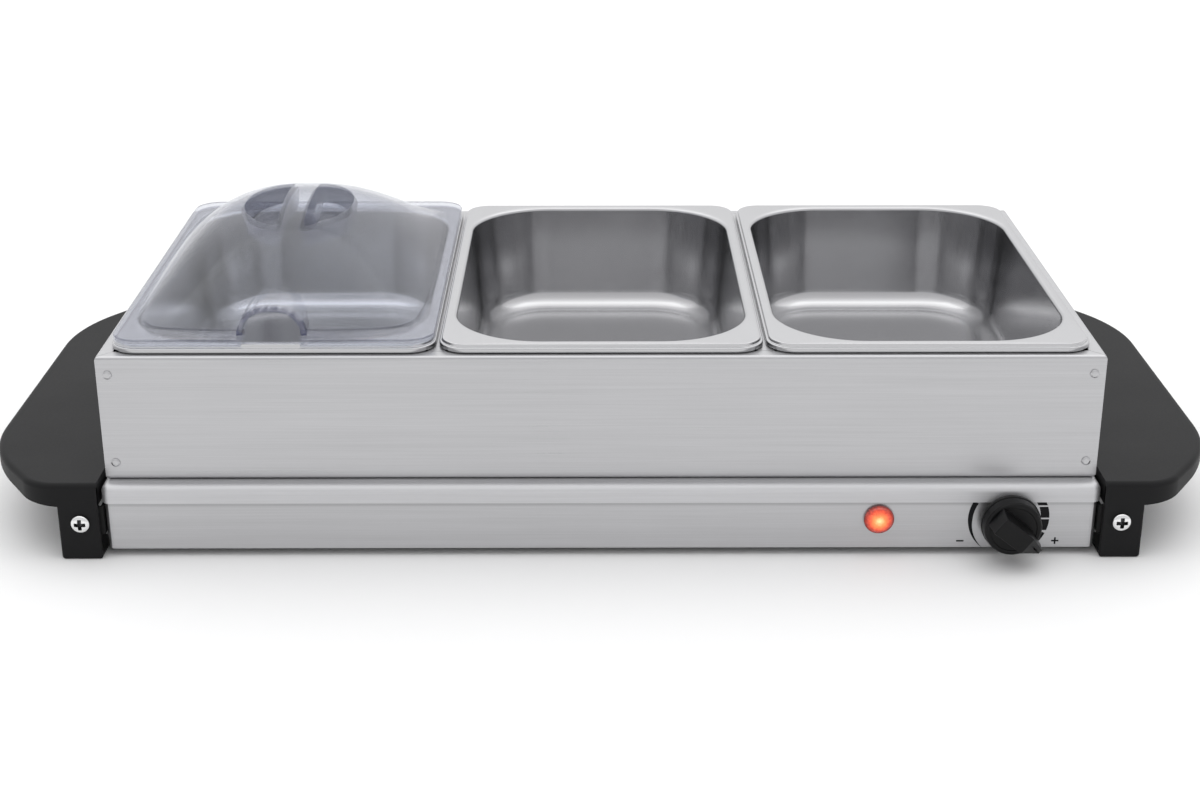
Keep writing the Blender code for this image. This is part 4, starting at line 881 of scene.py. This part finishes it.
def moulded_handle(name, node, side):
    """A hollow grip with a rounded edge, and an angled leg at each end.

    The grip's rings are its plan outline, inset by e (1 - sin a) and lowered by
    e (1 - cos a) round its upper edge, then carried down and back up inside.
    """
    body = sizes("body")
    node_low, node_high = low(node), high(node)
    inner_x = min(abs(node_low[0]), abs(node_high[0]))
    outer_x = max(abs(node_low[0]), abs(node_high[0]))
    centre_y = middle(node)[1]
    half_y = (node_high[1] - node_low[1]) / 2
    top = node_high[2]
    edge = body.handle_edge
    wall = body.handle_wall

    def lip(x):
        """Level of the underside, which rises evenly from the legs to the tip."""
        return GRIP_UNDERSIDE + np.clip((x - LEG_OUTER) / (outer_x - LEG_OUTER), 0, 1) * GRIP_TIP_RISE

    turn = np.linspace(0, math.pi / 2, 8)
    insets = np.concatenate(([edge + 0.6 * MM], edge * (1 - np.sin(turn))))
    levels = np.concatenate(([top], top - edge * (1 - np.cos(turn))))
    rings = [at_levels(grip_outline(inner_x, outer_x, half_y, inset)[None], level)[0]
             for inset, level in zip(insets, levels)]
    ceiling = top - wall
    skirt = ((0.0, 0.5 * MM), (0.15 * MM, 0.15 * MM), (0.5 * MM, 0.0), (wall - 0.5 * MM, 0.0),
             (wall - 0.15 * MM, 0.15 * MM), (wall, 0.5 * MM))
    for inset, rise in skirt:
        plan = grip_outline(inner_x + inset, outer_x, half_y, inset)
        rings.append(np.column_stack((plan, lip(plan[:, 0]) + rise)))
    inside = grip_outline(inner_x + wall, outer_x, half_y, wall)
    rings.append(np.column_stack((inside, np.full(len(inside), ceiling))))
    patches = [skin(np.array(rings), caps="first last")]
    hair = 0.03 * MM
    for end in (-1, 1):
        face = half_y - hair
        inner_face = half_y - wall
        back = half_y - LEG_DEPTH
        ell = [(inner_x, -face), (LEG_OUTER, -face), (LEG_OUTER, -back), (LEG_OUTER - wall, -back),
               (LEG_OUTER - wall, -inner_face), (inner_x, -inner_face)]
        radii = np.array([0.8, 1.5, 0.8, 0.8, 1.0, 0.3]) * MM
        ring = filleted_loop(ell, radii, 5)
        hub = np.array([(inner_x + LEG_OUTER) / 2, -(face + back) / 2])
        steps = np.linspace(0, math.pi / 2, 5)
        trims = np.concatenate((1.5 * MM * (1 - np.sin(steps)), [0.0]))
        lifts = np.concatenate((1.5 * MM * (1 - np.cos(steps)), [ceiling + 0.3 * MM]))
        sole = [(inner_x, -face), (LEG_OUTER, -face), (LEG_OUTER, -back), (inner_x, -back)]
        foot = filleted_loop(sole, np.array([0.8, 1.5, 1.5, 0.8]) * MM, 5)
        extent = np.array([(LEG_OUTER - inner_x) / 2, (face - back) / 2])
        for outline, rows, shrink in ((ring, slice(None), 0.0), (foot, slice(0, 5), 0.05 * MM)):
            scale = 1 - (trims[rows] + shrink)[:, None] / extent
            loops = hub + (outline - hub)[None] * scale[:, None, :]
            heights = lifts[rows].copy()
            if shrink:
                loops = np.concatenate((loops, loops[-1:]))
                heights = np.append(heights, wall)
            grid = at_levels(loops, heights)
            grid[..., 1] *= -end
            patches.append(skin(grid, caps="first last"))
    return mesh_object(name, [(points * (side, 1, 1) + (0, centre_y, 0), faces) for points, faces in patches])


# ---------------------------------------------------------------- sheet panels

def folded_section(height, flange, bend, sheet):
    """Closed section of a frame panel as (inward, up), with its bends rounded."""
    outside = filleted([(flange, 0), (0, 0), (0, height), (flange, height)], [bend, bend], 8)
    inner = max(bend - sheet, 0.1 * MM)
    inside = filleted([(flange, height - sheet), (sheet, height - sheet), (sheet, sheet), (flange, sheet)],
                      [inner, inner], 8)
    return np.concatenate((outside, inside))


def frame_sheet(name, node, across, facing, setback, tabs):
    """A folded panel: its section carried along the wall, mitred where its flanges meet the next panel.

    across is the axis that the wall runs along, facing the sign of its outer face.
    """
    body = sizes("body")
    node_low, node_high = low(node), high(node)
    other = 1 - across
    height = node_high[2] - node_low[2]
    section = folded_section(height, body.frame_flange, body.frame_bend, body.sheet)
    inward, up = section[:, 0], section[:, 1]
    in_wall = (up > body.frame_bend - 0.01 * MM) & (up < height - body.frame_bend + 0.01 * MM)
    trim = np.where(in_wall, 0.0, inward + 0.15 * MM)
    frame_half = (high("frame_front")[0], (high("frame_rear")[1] - low("frame_front")[1]) / 2)[across]
    centre = np.array([0.0, (high("frame_rear")[1] + low("frame_front")[1]) / 2])[across]
    reach = frame_half - np.maximum(trim, setback)
    face = node_high[other] if facing > 0 else node_low[other]
    ends = []
    for sign in (-1, 1):
        ring = np.empty((len(section), 3))
        ring[:, across] = centre + sign * reach
        ring[:, other] = face - facing * inward
        ring[:, 2] = node_low[2] + up
        ends.append(ring)
    patches = [skin(np.array(ends), caps="first last")]
    if tabs:
        for sign in (-1, 1):
            edge = centre + sign * (frame_half - setback)
            a = np.array([face - facing * 0.5 * MM, edge, node_low[2] + 3 * MM])
            b = np.array([face - facing * 13 * MM, edge - sign * body.sheet, node_high[2] - 3 * MM])
            patches.append(block(a, b))
    return mesh_object(name, patches)


POST_REACH = np.array([243, 123]) * MM


def plate_sheet():
    """The pressed warming plate: rings bent over its edge, down the skirt and back inside,
    with four posts underneath."""
    body = sizes("body")
    node_low, node_high = low("warming_plate"), high("warming_plate")
    centre = middle("warming_plate")
    half = (node_high - node_low)[:2] / 2
    top = node_high[2]
    skirt = top - 10 * MM
    turn = np.linspace(0, math.pi / 2, 10)

    def shell(inset, bend, level, up):
        """Rings of one skin, from the middle down to the skirt's edge if up, else back."""
        insets = np.concatenate(([bend + 1 * MM], bend * (1 - np.sin(turn)), [0.0])) + inset
        levels = np.concatenate(([level], level - bend * (1 - np.cos(turn)), [skirt]))
        corner = np.maximum(body.plate_corner - insets * 0.8, 0.4 * MM)
        rings = at_levels(rounded_rectangle(half - insets[:, None], corner, centre, 10), levels)
        return rings if up else rings[::-1]

    grid = np.concatenate((shell(0.0, body.plate_bend, top, True),
                           shell(body.sheet, body.plate_bend - body.sheet, top - body.sheet, False)))
    patches = [skin(grid, caps="first last")]
    foot = 4.8 * MM
    post = [(4 * MM, top - 0.5 * MM), (4 * MM, foot), (2 * MM, foot), (2 * MM, foot + 14 * MM)]
    for sign in CORNER_SIGNS:
        patches.append(turned(post, (*(sign * POST_REACH + (0, centre[1])), 0.0), 24, "Z"))
    return mesh_object("plate_sheet", patches)


# -------------------------------------------------------------------- controls

KNOB_REST_DEG = -38.0


def heat_knob():
    """Knob turned to its highest setting: a stepped disc with a grip that narrows to a pointer."""
    centre = middle("thermostat_shaft")
    back = high("control_knob")[1]
    disc = [(0.0, 0.3), (14.6, 0.0), (15.6, 0.0), (16.0, 0.5), (16.0, 2.3), (15.6, 2.7), (15.2, 2.75),
            (15.2, 3.3), (15.6, 3.5), (15.2, 8.6), (14.8, 9.5), (14.0, 10.0), (12.4, 10.0), (12.2, 9.7),
            (0.0, 9.7)]
    rounded = filleted(np.array(disc) * MM, np.full(len(disc) - 2, 0.18 * MM), 3)
    profile = np.column_stack((rounded[:, 0], -rounded[:, 1]))
    patches = [turned(profile, (0, back, 0), 96)]
    root, crest, nose = -7 * MM, -22 * MM, -14 * MM
    lower = [(-13.2, 6.1), (7.2, 6.1), (18.4, 1.8), (18.4, -1.8), (7.2, -6.1), (-13.2, -6.1)]
    upper = [(-12.2, 5.2), (6.4, 5.2), (17.9, 1.3), (17.9, -1.3), (6.4, -5.2), (-12.2, -5.2)]
    rings = []
    for plan, depth in ((lower, [root] * 6), (upper, [crest, crest, nose, nose, crest, crest])):
        plan = np.array(plan) * MM
        rings.append(np.column_stack((plan[:, 0], np.array(depth) + back, plan[:, 1])))
    points = np.concatenate(rings)
    faces = [[0, 1, 2, 3, 4, 5], [0, 1, 7, 6], [1, 2, 8, 7], [2, 3, 9, 8], [3, 4, 10, 9], [4, 5, 11, 10],
             [5, 0, 6, 11], [6, 7, 10, 11], [7, 8, 9, 10]]
    patches.append((points, faces))
    dash = block((12.6 * MM, back - 19.1 * MM, -0.35 * MM), (15.0 * MM, back - 14.8 * MM, 0.35 * MM))
    patches.append(dash)
    angle = math.radians(KNOB_REST_DEG)
    cos, sin = math.cos(angle), math.sin(angle)
    turn = np.array([(cos, 0, sin), (0, 1, 0), (-sin, 0, cos)])
    shift = (centre[0], 0, centre[2])
    return mesh_object("heat_knob", [(points @ turn + shift, faces) for points, faces in patches])


def lamp_lens():
    """Low domed lens with a flat collar."""
    centre = middle("indicator_lens")
    seat = high("indicator_lens")[1]
    outline = [(0.0, 0.0), (8.1, 0.0), (8.15, 1.2), (7.3, 1.5), (6.6, 2.4), (4.2, 3.4), (0.0, 3.75)]
    profile = filleted(np.array(outline) * MM, np.array([0.1, 0.4, 0.3, 0.5, 2.0]) * MM, 6)
    section = np.column_stack((profile[:, 0], -profile[:, 1]))
    return mesh_object("lamp_lens", [turned(section, (centre[0], seat, centre[2]), 72)])


def dial_arc(centre, face, start, end, cut=None):
    """One stretch of the printed heat scale, as a plate 0.06 mm thick.

    At angle a the band runs from R - w(a) to R, and w grows from nothing at the low end
    to its full width at the high end. A cut gives the band level ends at two heights.
    """
    outer = sizes("body").dial_radius
    share = np.linspace(0, 1, 40)[:, None]
    across = np.linspace(0, 1, 5)[None, :]
    angle = np.radians(start + (end - start) * share)
    width = np.interp(np.degrees(angle), [-41.0, 0.0, 90.0, 180.0, 233.0], [4.6, 4.8, 4.1, 2.5, 0.05]) * MM
    radius = outer - width * (1 - across)
    if cut is not None:
        ends = np.arcsin(np.clip((np.array(cut)[:, None, None] - centre[2]) / radius, -1, 1))
        angle = ends[0] + (ends[1] - ends[0]) * share
    x = centre[0] + radius * np.cos(angle)
    z = centre[2] + radius * np.sin(angle)
    loop = np.concatenate((np.stack((x, z), -1)[:, 0], np.stack((x, z), -1)[::-1, -1]))
    return extruded(loop, face, face - 0.06 * MM, "Y")


def dial_print():
    """Printed heat scale: a crescent that widens clockwise, then level blocks, with a minus
    and a plus sign at its ends."""
    centre = middle("thermostat_shaft")
    face = low("base_shell")[1] - 0.01 * MM
    gaps = [(31.4, 29.15), (28.25, 21.85), (20.95, 14.55)]
    patches = [dial_arc(centre, face, 233.0, 152.0)]
    patches += [dial_arc(centre, face, 40.0, 10.0, np.array(gap) * MM) for gap in gaps]
    patches.append(dial_arc(centre, face, -23.5, -41.0))
    stroke = 0.45 * MM
    arm = 2.0 * MM
    level = 8.2 * MM
    thick = 0.06 * MM
    for x in (centre[0] - 25.3 * MM, centre[0] + 25.9 * MM):
        patches.append(block((x - arm, face - thick, level - stroke), (x + arm, face, level + stroke)))
    x = centre[0] + 25.9 * MM
    patches.append(block((x - stroke, face - thick, level + stroke), (x + stroke, face, level + arm)))
    patches.append(block((x - stroke, face - thick, level - arm), (x + stroke, face, level - stroke)))
    return mesh_object("heat_scale", patches)


# ------------------------------------------------------------------- fasteners

HEAD_TURN = math.radians(20)


def cross_head(radius, height, steps):
    """Domed screw head with a cross recess, as (radius rows, angle columns).

    Its height is h sqrt(1 - (r/R)^2 k) with a rounded border, less a recess whose two arms
    have soft sides: the arm's depth falls off as a smooth step of |across| and |along|.
    """
    r = np.concatenate((np.linspace(0.0, 0.72, 34), np.linspace(0.74, 1.0, 14)))[::-1, None] * radius
    angle = np.linspace(0, 2 * math.pi, steps, endpoint=False)[None, :] + HEAD_TURN
    u, v = r * np.cos(angle), r * np.sin(angle)
    crown = height * (0.35 + 0.65 * np.sqrt(np.clip(1 - (r / radius) ** 2, 0, 1)))
    crown = np.broadcast_to(crown, u.shape)

    def arm(across, along):
        """Share of the recess's depth in one of its two arms."""
        wide = np.clip((0.2 * radius - np.abs(across)) / (0.05 * radius), 0, 1)
        far = np.clip((0.62 * radius - np.abs(along)) / (0.12 * radius), 0, 1)
        return wide * wide * (3 - 2 * wide) * far * far * (3 - 2 * far)

    recess = np.maximum(arm(u, v), arm(v, u)) * height * 0.9
    return u, v, crown - recess


def screw(name, node, axis, outward, shank, head, steps):
    """A screw along an axis, its head facing outward (-1 or 1), its point at the other end.

    shank is its (point radius, radius). head is its (radius, height of the dome, seat's
    distance from the head's end). The rings run from the point up the shank and out over
    the seat, and the recessed head closes them.
    """
    along = {"Y": 1, "Z": 2}[axis]
    across = [place for place in range(3) if place != along]
    centre = middle(node)
    tip, end = (low(node)[along], high(node)[along])[::outward]
    seat = end - outward * head[2]
    rows = np.array([(shank[0], tip), (shank[1], tip + outward * 1 * MM), (shank[1], seat), (head[0], seat)])
    angle = np.linspace(0, 2 * math.pi, steps, endpoint=False) + HEAD_TURN
    u, v, rise = cross_head(head[0], head[1], steps)
    points = np.empty((len(rows) + len(u), steps, 3))
    points[..., across[0]] = np.concatenate((rows[:, :1] * np.cos(angle), u)) + centre[across[0]]
    points[..., across[1]] = np.concatenate((rows[:, :1] * np.sin(angle), v)) + centre[across[1]]
    levels = np.broadcast_to(rows[:, 1:], (len(rows), steps))
    points[..., along] = np.concatenate((levels, seat + outward * rise))
    return mesh_object(name, [skin(points, fans="first")])


def rivet(name, node, outward):
    """A domed rivet: head outside, shank through the sheets and a flattened tail."""
    radius = sizes("body").rivet_head
    centre = middle(node)
    seat = (low(node)[1] + 1.3 * MM) if outward < 0 else (high(node)[1] - 1.3 * MM)
    tail = high(node)[1] if outward < 0 else low(node)[1]
    rise = filleted(np.array([(2.4, 0.0), (2.35, 0.55), (1.5, 1.05), (0.05, 1.1)]) * MM,
                    np.array([0.2, 0.35]) * MM, 4)
    dome = np.column_stack((rise[:, 0] * radius / (2.35 * MM), seat + outward * rise[:, 1]))
    bulge, neck = tail + outward * 0.5 * MM, tail + outward * 1 * MM
    stem = np.array([(1.7 * MM, tail), (2.1 * MM, bulge), (2.1 * MM, neck), (1.6 * MM, neck),
                     (1.6 * MM, seat)])
    return mesh_object(name, [turned(np.concatenate((stem, dome)), (centre[0], 0, centre[2]), 36)])


def cord_gland():
    """Strain-relief gland: a collar on the rear wall and a ribbed neck with a bore."""
    centre = middle("cable_gland")
    start, end = low("cable_gland")[1], high("cable_gland")[1]
    wall = end - 11.3 * MM
    steps = [(8.5, -1.3), (6.0, -1.3), (6.0, 0.3), (9.0, 0.3), (9.0, 3), (7.2, 4.2), (6.6, 4.8), (6.6, 5.8),
             (5.7, 6.2), (5.7, 7.2), (6.3, 7.5), (6.3, 8.4), (5.4, 8.8), (5.4, 9.6), (5.9, 9.9), (5.6, 11.3)]
    outline = [(8.5 * MM, start)]
    outline += [(radius * MM, wall + depth * MM) for radius, depth in steps]
    outline += [(3.5 * MM, end), (3.5 * MM, start)]
    profile = np.array(outline)
    closed = np.concatenate((profile, profile[:1]))
    return mesh_object("cord_gland", [turned(closed, (centre[0], 0, centre[2]), 48, fans="")])


# ----------------------------------------------------------------------- stage

def floor_finish(tone):
    """Pale seamless paper with the faintest unevenness."""
    make = Finish("studio_paper")
    fibre = make.noise((60, 60, 60), 3.0)
    inputs = {
        "Base Color": make.blend(fibre, shade(tone, 0.995), shade(tone, 1.005)),
        "Roughness": fibre * 0.05 + 0.65,
        "Specular IOR Level": 0.2,
    }
    return make.done(make.principled(inputs))


def studio_world(scene):
    """Soft white room: brighter overhead than at the horizon."""
    world = bpy.data.worlds.new("studio")
    scene.world = world
    world.use_nodes = True
    tree = world.node_tree
    tree.nodes.clear()
    place = tree.nodes.new("ShaderNodeTexCoord")
    aim = tree.nodes.new("ShaderNodeVectorMath")
    aim.operation = "DOT_PRODUCT"
    aim.inputs[1].default_value = (0.0, 0.3, 0.954)
    ramp = tree.nodes.new("ShaderNodeValToRGB")
    light = tree.nodes.new("ShaderNodeBackground")
    output = tree.nodes.new("ShaderNodeOutputWorld")
    tree.links.new(place.outputs["Generated"], aim.inputs[0])
    tree.links.new(aim.outputs["Value"], ramp.inputs[0])
    tree.links.new(ramp.outputs[0], light.inputs["Color"])
    tree.links.new(light.outputs[0], output.inputs["Surface"])
    Finish.set_stops(ramp.color_ramp, [(0.0, (0.5, 0.5, 0.505)), (0.2, (0.52, 0.52, 0.526)),
                                       (0.5, (0.6, 0.6, 0.605)), (0.72, (0.86, 0.86, 0.865)),
                                       (0.84, (1.0, 1.0, 1.0)), (1.0, (0.6, 0.6, 0.6))])
    light.inputs["Strength"].default_value = 1.6


def softbox(name, location, target, width, depth, power):
    """A rectangular soft light aimed at a point."""
    data = bpy.data.lights.new(name, "AREA")
    data.shape = "RECTANGLE"
    data.size = width
    data.size_y = depth
    data.energy = power
    lamp = bpy.data.objects.new(name, data)
    bpy.context.scene.collection.objects.link(lamp)
    lamp.location = location
    aim = np.array(target) - np.array(location)
    distance = float(np.linalg.norm(aim))
    lamp.rotation_euler = (math.acos(-aim[2] / distance), 0.0, math.atan2(aim[1], aim[0]) - math.pi / 2)
    return lamp


# ------------------------------------------------------------------- operators

class WARMER_OT_pans(bpy.types.Operator):
    """Build the three drawn food pans"""

    bl_idname = "warmer.pans"
    bl_label = "Pans"

    def execute(self, context):
        finish = drawn_steel("pan_satin_steel", tuple(sizes("colours").pan_steel))
        for place in ("left", "centre", "right"):
            node = "pan_" + place
            item = food_pan("food_" + node, node)
            settle(item, node + "_body", finish, [node])
        return {"FINISHED"}


class WARMER_OT_lid(bpy.types.Operator):
    """Build the clear lid with its finger pockets and spoon notch"""

    bl_idname = "warmer.lid"
    bl_label = "Lid"

    def execute(self, context):
        tones = sizes("colours")
        front, base = low("lid")[1:]
        finish = clear_plastic("clear_lid_plastic", tuple(tones.lid_tint), tuple(tones.lid_edge),
                               front + 5.0 * MM, base + 4.2 * MM)
        settle(clear_lid(), "lid_body", finish, ["lid"], 30.0)
        return {"FINISHED"}


class WARMER_OT_handles(bpy.types.Operator):
    """Build the two moulded end handles"""

    bl_idname = "warmer.handles"
    bl_label = "Handles"

    def execute(self, context):
        finish = moulded_plastic("handle_plastic", tuple(sizes("colours").black), 0.5)
        for place, side in SIDES.items():
            node = "handle_" + place
            settle(moulded_handle("moulded_" + node, node, side), "base", finish, [node])
        return {"FINISHED"}


class WARMER_OT_sheet(bpy.types.Operator):
    """Build the folded frame panels and the warming plate, and finish the casing"""

    bl_idname = "warmer.sheet"
    bl_label = "Sheet panels"

    def execute(self, context):
        tone = tuple(sizes("colours").sheet_steel)
        finish = brushed_steel("brushed_sheet", tone)
        setback = 1.3 * MM
        panels = (("frame_front", 0, -1, 0.0, False), ("frame_rear", 0, 1, 0.0, False),
                  ("frame_end_left", 1, -1, setback, True), ("frame_end_right", 1, 1, setback, True))
        for node, across, facing, inset, tabs in panels:
            item = frame_sheet(node + "_sheet", node, across, facing, inset, tabs)
            settle(item, "pan_frame", finish, [node])
        # The warming plate is a lighter copy of the sheet steel: painted light that brightens its top ledge.
        plate = brushed_steel("plate_sheet", shade(tone, 1.2), 0.55)
        settle(plate_sheet(), "base", plate, ["warming_plate"])
        # The casing gets a painted shadow just below the warming plate's skirt edge.
        skirt_edge = high("warming_plate")[2] - 9.9 * MM
        dress(["base_shell"], brushed_steel("casing_sheet", tone, 0.34, skirt_edge))
        dress(["divider_left", "divider_right"], finish)
        return {"FINISHED"}


class WARMER_OT_controls(bpy.types.Operator):
    """Build the heat knob, its printed scale and the pilot lamp's lens"""

    bl_idname = "warmer.controls"
    bl_label = "Controls"

    def execute(self, context):
        tones = sizes("colours")
        knob = moulded_plastic("knob_plastic", tuple(tones.knob), 0.34, 1800.0, 0.12, 0.2)
        settle(heat_knob(), "knob", knob, ["control_knob"], 30.0, 0.3 * MM)
        ink = moulded_plastic("printed_ink", tuple(tones.print_ink), 0.5, 2500.0, 0.05)
        settle(dial_print(), "base", ink)
        centre = middle("indicator_lens")
        lens = lamp_red("lit_red_lens", centre, 8.15 * MM)
        settle(lamp_lens(), "base", lens, ["indicator_lens"])
        return {"FINISHED"}


class WARMER_OT_fasteners(bpy.types.Operator):
    """Build the leg screws, cover screws and rivets"""

    bl_idname = "warmer.fasteners"
    bl_label = "Fasteners"

    def execute(self, context):
        plated = bright_metal("plated_screw", (0.82, 0.82, 0.82))
        place = middle("handle_screw_front_right")
        # This finish paints shade into the leg screws' cross recesses.
        crossed = bright_metal("crossed_screw", (0.82, 0.82, 0.82), 0.14,
                               (place[0], place[2], sizes("body").screw_head))
        dull = bright_metal("rivet_steel", (0.5, 0.5, 0.51), 0.3)
        for row, outward in ROWS.items():
            for place in SIDES:
                tail = f"{row}_{place}"
                node = "handle_screw_" + tail
                item = screw("leg_screw_" + tail, node, "Y", outward, (2.0 * MM, 2.5 * MM),
                             (sizes("body").screw_head, 2.6 * MM, 2.7 * MM), 72)
                settle(item, "base", crossed, [node])
                for level in ("upper", "lower"):
                    node = f"rivet_{tail}_{level}"
                    item = rivet(f"domed_{node}", node, outward)
                    settle(item, "pan_frame", dull, [node])
        for number in range(1, 5):
            node = f"cover_screw_{number}"
            radius = (high(node)[0] - low(node)[0]) / 2
            item = screw(f"base_{node}", node, "Z", -1, (1.4 * MM, 1.7 * MM), (radius, 1.7 * MM, 1.8 * MM), 40)
            settle(item, "base", plated, [node])
        return {"FINISHED"}


class WARMER_OT_rear(bpy.types.Operator):
    """Build the cable gland on the rear wall"""

    bl_idname = "warmer.rear"
    bl_label = "Cable gland"

    def execute(self, context):
        finish = moulded_plastic("gland_plastic", tuple(sizes("colours").knob), 0.5)
        settle(cord_gland(), "base", finish, ["cable_gland"])
        return {"FINISHED"}


class WARMER_OT_inner(bpy.types.Operator):
    """Finish the parts inside and under the base"""

    bl_idname = "warmer.inner"
    bl_label = "Inner parts"

    def execute(self, context):
        dress(["bottom_cover"], bright_metal("zinc_cover", (0.3, 0.3, 0.3), 0.5))
        # The handle brackets are near black: painted shade for the dark gap they are seen through.
        dress(["handle_bracket_left", "handle_bracket_right"],
              moulded_plastic("shade_dark_bracket", (0.012, 0.012, 0.012), 0.55, 900.0, 0.2))
        dress(["heating_element"], bright_metal("oxidised_sheath", (0.16, 0.15, 0.15), 0.5))
        dress([f"element_clamp_{number}" for number in range(1, 5)],
              brushed_steel("clamp_strip", (0.5, 0.5, 0.5)))
        dress(["reflector_plate", "thermal_fuse", "thermostat_shaft"],
              bright_metal("mill_aluminium", (0.66, 0.67, 0.68), 0.34))
        dress(["thermostat_nut", "earth_screw"], bright_metal("turned_brass", (0.72, 0.56, 0.26), 0.28))
        dress(["thermostat_body"], fired_body("ceramic_block", (0.8, 0.78, 0.72)))
        dress(["terminal_block", "indicator_body", "indicator_ring"],
              fired_body("pale_moulding", (0.78, 0.77, 0.74)))
        sleeves = {
            "brown": ((0.22, 0.1, 0.05), ["wire_live", "wire_fused"]),
            "grey": ((0.45, 0.45, 0.45), ["wire_element_front"]),
            "blue": ((0.06, 0.14, 0.42), ["wire_element_rear", "wire_lamp_neutral"]),
            "red": ((0.42, 0.04, 0.03), ["wire_lamp_live"]),
            "green": ((0.14, 0.4, 0.06), ["wire_earth"]),
        }
        for name, (tone, nodes) in sleeves.items():
            dress(nodes, moulded_plastic(name + "_sleeve", tone, 0.5, 900.0, 0.15))
        return {"FINISHED"}


class WARMER_OT_stage(bpy.types.Operator):
    """Lay the floor and set the lights and the camera"""

    bl_idname = "warmer.stage"
    bl_label = "Stage"

    def execute(self, context):
        scene = context.scene
        scene.view_settings.view_transform = "Standard"
        reach = 14.0
        corners = np.array([(-reach, -reach, 0), (reach, -reach, 0), (reach, reach, 0), (-reach, reach, 0)])
        floor = mesh_object("studio_floor", [(corners, [[0, 1, 2, 3]])])
        floor.data.materials.append(floor_finish(tuple(sizes("colours").floor)))
        studio_world(scene)
        softbox("overhead_light", (0.0, 0.5, 2.4), (0.0, 0.0, 0.05), 3.2, 2.4, 12.0)
        data = bpy.data.cameras.new("catalogue_camera")
        data.sensor_width = 36.0
        data.lens = 58.2
        data.clip_start = 0.01
        camera = bpy.data.objects.new("catalogue_camera", data)
        scene.collection.objects.link(camera)
        camera.location = (-0.0047, -1.0796, 0.4683)
        camera.rotation_euler = (math.radians(68.111), 0.0, math.radians(-0.24))
        scene.camera = camera
        return {"FINISHED"}


BUILD_ORDER = (
    WARMER_OT_stage, WARMER_OT_sheet, WARMER_OT_pans, WARMER_OT_lid, WARMER_OT_handles,
    WARMER_OT_controls, WARMER_OT_fasteners, WARMER_OT_rear, WARMER_OT_inner,
)


class WARMER_PT_panel(bpy.types.Panel):
    """Sidebar panel with the sizes, the colours and one button for each group of pieces"""

    bl_idname = "WARMER_PT_panel"
    bl_label = "Buffet Warmer"
    bl_space_type = "VIEW_3D"
    bl_region_type = "UI"
    bl_category = "Buffet Warmer"

    def draw(self, context):
        for kind in ("pan", "lid", "body", "colours"):
            group = sizes(kind)
            column = self.layout.column(align=True)
            for key in group.__annotations__:
                column.prop(group, key)
        for operator in BUILD_ORDER:
            self.layout.operator(operator.bl_idname)


GROUPS = {"pan": PanSizes, "lid": LidSizes, "body": BodySizes, "colours": Colours}
CLASSES = (*GROUPS.values(), *BUILD_ORDER, WARMER_PT_panel)


def register():
    """Register the classes and hang the sizes on the scene."""
    for item in CLASSES:
        bpy.utils.register_class(item)
    for kind, group in GROUPS.items():
        setattr(bpy.types.Scene, "warmer_" + kind, bpy.props.PointerProperty(type=group))


def unregister():
    """Take the sizes off the scene and the classes out again."""
    for kind in GROUPS:
        delattr(bpy.types.Scene, "warmer_" + kind)
    for item in reversed(CLASSES):
        bpy.utils.unregister_class(item)


def main():
    """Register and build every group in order."""
    register()
    for operator in BUILD_ORDER:
        group, name = operator.bl_idname.split(".")
        getattr(getattr(bpy.ops, group), name)()


if __name__ == "__main__":
    main()
